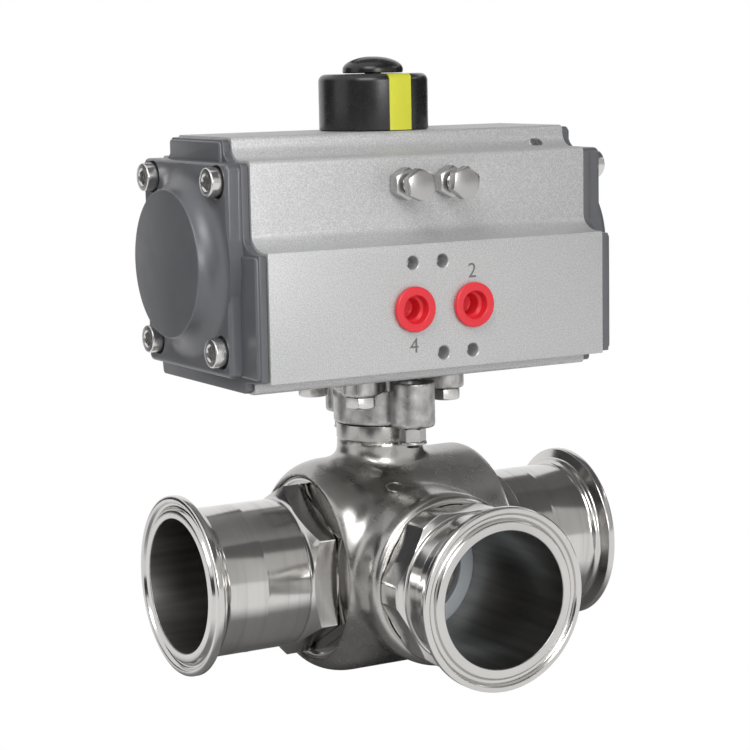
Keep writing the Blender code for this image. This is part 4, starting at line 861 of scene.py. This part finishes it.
# What stands out from the cap's plate: name, y and z ranges, top, rounding in the plane and at the rim.
RAISED = [("block", (-33.0, 33.0, 76.5, 149.0), CAP_FACE, 2.4, 1.5),
          ("wing", (-44.6, -30.0, 76.6, 118.2), CAP_STEP + 1.1, 1.2, 0.9),
          ("rail", (-33.2, -30.0, 118.0, 147.6), CAP_STEP + 1.3, 0.8, 0.8),
          ("tab", (-19.8, 19.8, 146.0, 155.9), CAP_STEP + 1.0, 1.2, 0.8)]


def end_cap(side, end):
    piece = bar(side + "_end_cap", section(0.7), CAP_START, CAP_STEP, "YZ", edge=0.45)
    for name, ranges, top, corner, edge in RAISED:
        join(piece, bar(name, rectangle(*ranges), CAP_STEP - 1, top, "YZ", corner=corner, edge=edge,
                        segments=4 if name == "block" else 3, ends="high"))
    fillet = DOME_BASE_R - DOME_R
    flare = [p for p in arc((DOME_BASE_R, CAP_FACE + fillet), fillet, 270, 180, 24) if p[1] < DOME_FACE - 0.7]
    dome = [(0, CAP_STEP - 1), (DOME_BASE_R, CAP_STEP - 1)] + flare
    dome += [(DOME_R, DOME_FACE, 0.4), (0, DOME_FACE)]
    join(piece, turned("dome", dome, "+X", (0, 0, BORE_Z), steps=144))
    spigot = [(SPIGOT_BORE_R, 62.2), (SPIGOT_R, 62.2, 0.4), (SPIGOT_R, 63.6), (29.8, 63.6), (29.8, 65.8),
              (SPIGOT_R, 65.8), (SPIGOT_R, CAP_START + 0.5), (SPIGOT_BORE_R, CAP_START + 0.5)]
    join(piece, turned("spigot", spigot, "+X", (0, 0, BORE_Z), steps=96))
    hollow = [(0, 60), (SPIGOT_BORE_R, 60), (SPIGOT_BORE_R, CAP_STEP, 3.0), (0, CAP_STEP)]
    cut(piece, turned("hollow", hollow, "+X", (0, 0, BORE_Z), steps=72))
    pocket = [(0, 67), (3.3, 67), (3.3, 74.0), (5.7, 74.0), (5.7, CAP_FACE - 0.3), (6.0, CAP_FACE),
              (6.0, 85), (0, 85)]
    for _, y, z in SCREW_PLACES:
        cut(piece, turned("pocket", pocket, "+X", (0, y, z), steps=56))
    if end < 0:
        piece.data.transform(Matrix.Scale(-1, 4, (1, 0, 0)))
        piece.data.flip_normals()
    return show(piece, "valve", coating, "grey_paint", side + "_cover", angle=32)


def cap_screws(side, end):
    for place, y, z in SCREW_PLACES:
        screw = socket_screw("m6_screw_" + side + "_" + place, (end * 74.3, y, z), "-X" if end > 0 else "+X",
                             radius=3.0, head_r=5.0, head=6.0, length=20.0, key=5.0, depth=3.4)
        fasten(screw, screw_steel, side + "_cover_screw_" + place)


caps = [end_cap("left", -1), end_cap("right", 1)]
cap_screws("left", -1)
cap_screws("right", 1)
print("end caps:", [len(piece.data.vertices) for piece in caps])

# %% Stop bolts with their lock nuts
for place, side in (("left", -1), ("right", 1)):
    bolt = hex_bolt("m6_stop_bolt_" + place, (side * STOP_X, -44.2, STOP_Z), "-Y", *M6_HEX, 31.4,
                    turn=22 * side)
    fasten(bolt, bolt_steel, "stop_bolt_" + place)
    lock = nut("m6_lock_nut_" + place, (side * STOP_X, -34.6, STOP_Z), "-Y", flats=10.0, height=5.0, hole=3.3,
               turn=30)
    fasten(lock, bolt_steel, "stop_nut_" + place)
print("stop bolts and nuts: 4")

# %% [markdown]
# The indicator turns with the ball. Its two yellow inserts run up the side, over the rounded edge and onto
# the top, so each is a thin bent strip that is cut to the cap's own round outside.

# %% Indicator
CAP_R, CAP_BASE, CAP_TOP, CAP_EDGE = 19.65, 157.5, 177.2, 2.6
STRIP_TIP, CAP_BORE_R, CAP_CEILING = 9.4, 3.3, 173.2
DOME_SCREW_R, DOME_HEIGHT, DOME_START = 10.9, 4.65, 178.7


def strip(name, half_width, thickness, proud=0.0, play=0.0):
    """A bent strip on the side and top of the cap. A slot for it stands proud and has some play."""
    outer, top = CAP_R + proud, CAP_TOP + proud
    centre = (-(CAP_R - CAP_EDGE), CAP_TOP - CAP_EDGE)
    tip = -(STRIP_TIP - play)
    outline = [(-outer, CAP_BASE - play * 3)] + arc(centre, CAP_EDGE + proud, 180, 90, 10)
    outline += [(tip, top), (tip, CAP_TOP - thickness)] + arc(centre, CAP_EDGE - thickness, 90, 180, 8)
    outline += [(-(CAP_R - thickness), CAP_BASE - play * 3)]
    return bar(name, outline, -half_width, half_width, "YZ")


def indicator():
    rim = arc((CAP_R - CAP_EDGE, CAP_TOP - CAP_EDGE), CAP_EDGE, 0, 90, 10)
    profile = [(CAP_BORE_R, CAP_CEILING), (8.9, CAP_CEILING), (8.9, 161.4), (11.3, 161.4),
               (11.3, CAP_CEILING), (16.85, CAP_CEILING), (16.85, CAP_BASE), (CAP_R, CAP_BASE, 0.3)]
    profile += rim + [(CAP_BORE_R, CAP_TOP)]
    cap = turned("indicator_body", profile, steps=144)
    for place, turn in (("front", 0), ("right", 90)):
        slot = strip("slot", 4.6, 1.4, proud=0.5, play=0.3)
        slot.data.transform(Matrix.Rotation(radians(turn), 4, "Z"))
        cut(cap, slot)
        insert = strip("yellow_insert_" + place, 4.4, 1.1)
        keep(insert, rod("limit", CAP_R, 156, 178, steps=144))
        insert.data.transform(Matrix.Rotation(radians(turn), 4, "Z"))
        show(insert, "rotor", yellow, "yellow_plastic", "indicator_insert_" + place)
    show(cap, "rotor", black_cap, "black_plastic", "indicator_cap")
    dome = arc((0, DOME_START), (DOME_SCREW_R, DOME_HEIGHT), 0, 90, 20)
    shank = [(0, 163), (3.0, 163), (3.0, 177.5), (10.5, 177.5), (DOME_SCREW_R, 177.9)]
    screw = turned("dome_screw", shank + dome, steps=96)
    cut(screw, bar("slot", rectangle(-15, 15, -1.0, 1.0), 181.3, 185))
    return show(screw, "rotor", black_cap, "black_plastic", "indicator_screw")


print("indicator screw:", len(indicator().data.vertices), "vertices")

# %% Soft plugs in the air ports
PLUG = [(0, -8.5), (5.2, -8.5, 0.4), (5.6, 0.3), (7.9, 0.3, 0.3), (7.9, 2.0, 0.5), (4.9, 2.0, 0.4),
        (4.9, -1.5, 0.4), (3.65, -2.2, 0.3), (3.65, -7.3, 0.5), (0, -7.3)]
for place, side in (("left", -1), ("right", 1)):
    plug = turned("red_plug_" + place, PLUG, "-Y", (side * PORT_X, -BLOCK_Y, PORT_Z), steps=72)
    show(plug, "valve", red, "red_plastic", "port_plug_" + place)
print("plugs: 2")

# %% [markdown]
# The marks beside the ports are plain numbers, 2 and 4, which lie on the face as thin dark shapes. The other
# writing on the real valve isn't copied. The small raised ring on the casting is a foundry's moulding mark.

# %% Port numbers, moulding mark and air-passage plug
NUMBER_SIZE, NUMBER_HEIGHT = 7.4, 0.06
MARK_AIM, PASSAGE_PLUG = (-8.2, -24.9, 31.3), (55.0, -22.7, 151.2)


def number(text, x, z):
    curve = bpy.data.curves.new("number_" + text, "FONT")
    curve.body = text
    curve.size = NUMBER_SIZE
    curve.extrude = NUMBER_HEIGHT
    curve.align_x = "CENTER"
    curve.align_y = "CENTER"
    flat = bpy.data.objects.new("number_" + text, curve)
    mesh = bpy.data.meshes.new_from_object(flat)
    bpy.data.objects.remove(flat)
    place = Matrix.Translation((x, -BLOCK_Y, z)) @ Matrix.Rotation(pi / 2, 4, "X")
    mesh.transform(Matrix.Scale(MM, 4) @ place)
    show(add("port_number_" + text, mesh), "valve", ink, "anodised_aluminium")


number("2", PORT_X, 108.6)
number("4", -PORT_X, 84.0)
spot, away = casting.closest_point_on_mesh(Vector(MARK_AIM) * MM)[1:3]
mark = turned("moulding_mark", [(2.5, -1.2), (3.5, -1.2), (3.5, 0.4, 0.25), (2.5, 0.4, 0.25)], steps=64)
mark.data.transform(Matrix.Translation(spot) @ away.to_track_quat("Z", "Y").to_matrix().to_4x4())
show(mark, "valve", body_metal, "polished_steel")
plug = turned("passage_plug", [(0, -0.6), (2.9, -0.6), (2.9, 0.1, 0.1), (2.2, 0.3), (0, 0.45)], steps=48)
plug.data.transform(Matrix.Translation(Vector(PASSAGE_PLUG) * MM) @ Matrix.Rotation(radians(45), 4, "X"))
fasten(plug, screw_steel)
print("marks: 4")

# %% [markdown]
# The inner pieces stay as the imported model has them. Each still needs a finish of its own, because an open
# view or a cutaway shows them.

# %% Finishes of the inner pieces
INNER = [
    (fluoroplastic, "left_gasket right_gasket branch_gasket stem_packing stem_thrust_washer"),
    (satin_z, "gland_ring stem_nut stem pinion stop_cam"),
    (dark_steel, "disc_spring pinion_circlip"),
    (acetal, "pinion_lower_bush pinion_upper_bush"),
    (machined_aluminium, "left_piston right_piston"),
    (rubber, "left_piston_seal right_piston_seal left_cover_seal right_cover_seal"),
]
finished = set()
for finish, names in INNER:
    for name in names.split():
        nodes[name].data.materials.clear()
        nodes[name].data.materials.append(finish)
        finished.add(name)
shown = {name for name, item in nodes.items() if not item.hide_render}
print("inner nodes:", len(shown), "all with a finish:", shown <= finished)

# %% [markdown]
# The studio is a pale room: a world and a floor that the camera sees as pure white, and three soft lamps.
# Polished steel shows whatever stands round it, so dark, grey and light cards stand about, hidden from the
# camera. They give the tubes and the castings the bands that make them look like metal. The sizes of the
# studio and the camera are in metres.

# %% Studio
FLOOR_Z = cad_box[0][2] - 0.004
# Near the object the floor's colour and its glow in shiny surfaces are darkened: a painted shadow.
SHADOW_COLOUR, SHADOW_START, SHADOW_END = (0.35, 0.35, 0.35), 0.055, 0.085


def away_from_object(tree):
    """0 on the floor below the object, where its own shadow lies, and 1 a few centimetres from it."""
    return map_range(tree, distance_from_origin(tree, (0.5, 1.0, 0.0)), 0, 1, SHADOW_START, SHADOW_END)


def arithmetic(tree, operation, first, second):
    node = tree.nodes.new("ShaderNodeMath")
    node.operation = operation
    tree.links.new(first, node.inputs[0])
    tree.links.new(second, node.inputs[1])
    return node.outputs["Value"]


def seen_directly(tree, in_metal=None):
    """1 where the camera or glass sees a thing, in_metal or 1 where a shiny surface mirrors it, else 0."""
    path = tree.nodes.new("ShaderNodeLightPath").outputs
    value = path["Is Glossy Ray"]
    if in_metal:
        value = arithmetic(tree, "MULTIPLY", value, in_metal)
    for ray in ("Is Camera Ray", "Is Transmission Ray"):
        value = arithmetic(tree, "MAXIMUM", value, path[ray])
    return value


def stage_material(name, colour, seen=None):
    """A dull material. Where seen is given it is a floor that glows with that strength when seen directly."""
    made = bpy.data.materials.new(name)
    made.use_nodes = True
    tree = made.node_tree
    shader = tree.nodes["Principled BSDF"]
    shader.inputs["Base Color"].default_value = (*colour, 1)
    shader.inputs["Roughness"].default_value = 0.9
    if seen is None:
        return made
    glow = tree.nodes.new("ShaderNodeEmission")
    glow.inputs["Color"].default_value = (seen, seen, seen, 1)
    mix = tree.nodes.new("ShaderNodeMixShader")
    # Near the object the floor's colour and its glow in shiny surfaces are darkened: a painted shadow.
    away = away_from_object(tree)
    tree.links.new(mix_colours(tree, away, SHADOW_COLOUR, colour), shader.inputs["Base Color"])
    tree.links.new(seen_directly(tree, away), mix.inputs["Fac"])
    tree.links.new(shader.outputs["BSDF"], mix.inputs[1])
    tree.links.new(glow.outputs["Emission"], mix.inputs[2])
    tree.links.new(mix.outputs["Shader"], tree.nodes["Material Output"].inputs["Surface"])
    return made


def card(name, material, width, height, centre, facing):
    """A flat card whose face looks at a point. The camera sees only the floor."""
    bm = bmesh.new()
    bmesh.ops.create_grid(bm, x_segments=1, y_segments=1, size=0.5)
    turn = (Vector(facing) - Vector(centre)).to_track_quat("Z", "Y").to_matrix().to_4x4()
    place = Matrix.Translation(centre) @ turn @ Matrix.Diagonal((width, height, 1, 1))
    bmesh.ops.transform(bm, matrix=place, verts=bm.verts)
    made = add(name, to_mesh(name, bm))
    made.data.materials.append(material)
    made.visible_camera = material is white


white = stage_material("white_room", (0.8, 0.8, 0.8), 1.0)
dark = stage_material("dark_card", (0.06, 0.062, 0.068))
grey = stage_material("grey_card", (0.20, 0.195, 0.19))
light = stage_material("light_card", (0.90, 0.89, 0.88))
card("floor", white, 6, 6, (0, 0, FLOOR_Z), (0, 0, 1))
print("floor at", round(FLOOR_Z, 4))

# %% Lamps, world and cards
LAMPS = [("key", (-0.9, -0.9, 1.3), (0.9, 0.9), 13), ("side", (1.3, -0.5, 0.6), (0.6, 1.2), 6),
         ("front", (-0.25, -1.45, 0.45), (0.5, 0.5), 6)]
LAMPS_AIM = (0, 0, 0.07)
WORLD_LIGHT, WORLD_SEEN = 0.55, 1.0
CARDS = [
    ("light_front_right", light, 1.5, 0.9, (0.60, -0.95, 0.52), (0, 0, 0.52)),
    ("grey_above", grey, 1.6, 0.9, (0.45, -0.45, 1.05), (0, 0, 0.0)),
    ("grey_behind", grey, 1.4, 0.7, (0.5, 0.45, 1.0), (0, 0, 0.0)),
    ("dark_near_left", dark, 0.18, 0.11, (-0.37, -0.265, 0.015), (0, 0, 0.015)),
    ("dark_near_back", dark, 0.18, 0.11, (-0.27, 0.31, 0.015), (0, 0, 0.015)),
    ("dark_right", dark, 1.0, 0.8, (0.85, 0.1, 0.1), (0, 0, 0.0)),
    ("dark_left", dark, 0.5, 1.6, (-1.25, -0.35, 0.25), (0, 0, 0.05)),
    ("dark_front", dark, 1.0, 0.45, (-0.98, -1.04, 0.18), (0, 0, 0.05)),
    ("dark_behind_left", dark, 0.9, 0.8, (-0.85, 0.95, 0.3), (0, 0, 0.05)),
]


def lamp(name, centre, size, power):
    data = bpy.data.lights.new(name, "AREA")
    data.shape = "RECTANGLE"
    data.size, data.size_y = size
    data.energy = power
    made = add(name, data)
    made.location = centre
    made.rotation_euler = (Vector(LAMPS_AIM) - Vector(centre)).to_track_quat("-Z", "Y").to_euler()


for entry in LAMPS:
    lamp(*entry)
world = bpy.data.worlds.new("white_world")
world.use_nodes = True
background = world.node_tree.nodes["Background"]
background.inputs["Color"].default_value = (1, 1, 1, 1)
strength = map_range(world.node_tree, seen_directly(world.node_tree), WORLD_LIGHT, WORLD_SEEN)
world.node_tree.links.new(strength, background.inputs["Strength"])
bpy.context.scene.world = world
for entry in CARDS:
    card(*entry)
print("lamps:", len(LAMPS), "cards:", len(CARDS))

# %% [markdown]
# The camera was fitted to the photograph beforehand. The numbers below are its direction, its roll, its place
# and its lens.

# %% Camera
AZIMUTH, ELEVATION, ROLL = radians(-30.0472), radians(8.0238), radians(-1.09582)
CAMERA_PLACE, LENS_MM, SENSOR_MM = (-0.40931, -0.70509, 0.1828), 107.96, 36
back = Vector((sin(AZIMUTH) * cos(ELEVATION), -cos(AZIMUTH) * cos(ELEVATION), sin(ELEVATION)))
right = (-back).cross(Vector((0, 0, 1))).normalized()
up = right.cross(-back)
camera_x = cos(ROLL) * right + sin(ROLL) * up
camera_y = -sin(ROLL) * right + cos(ROLL) * up
camera = add("camera", bpy.data.cameras.new("camera"))
camera.data.lens = LENS_MM
camera.data.sensor_width = SENSOR_MM
turn = Matrix((camera_x, camera_y, back)).transposed().to_4x4()
camera.matrix_world = Matrix.Translation(CAMERA_PLACE) @ turn
bpy.context.scene.camera = camera
bpy.context.scene.view_settings.view_transform = "Standard"
print("camera at", [round(value, 3) for value in camera.location])
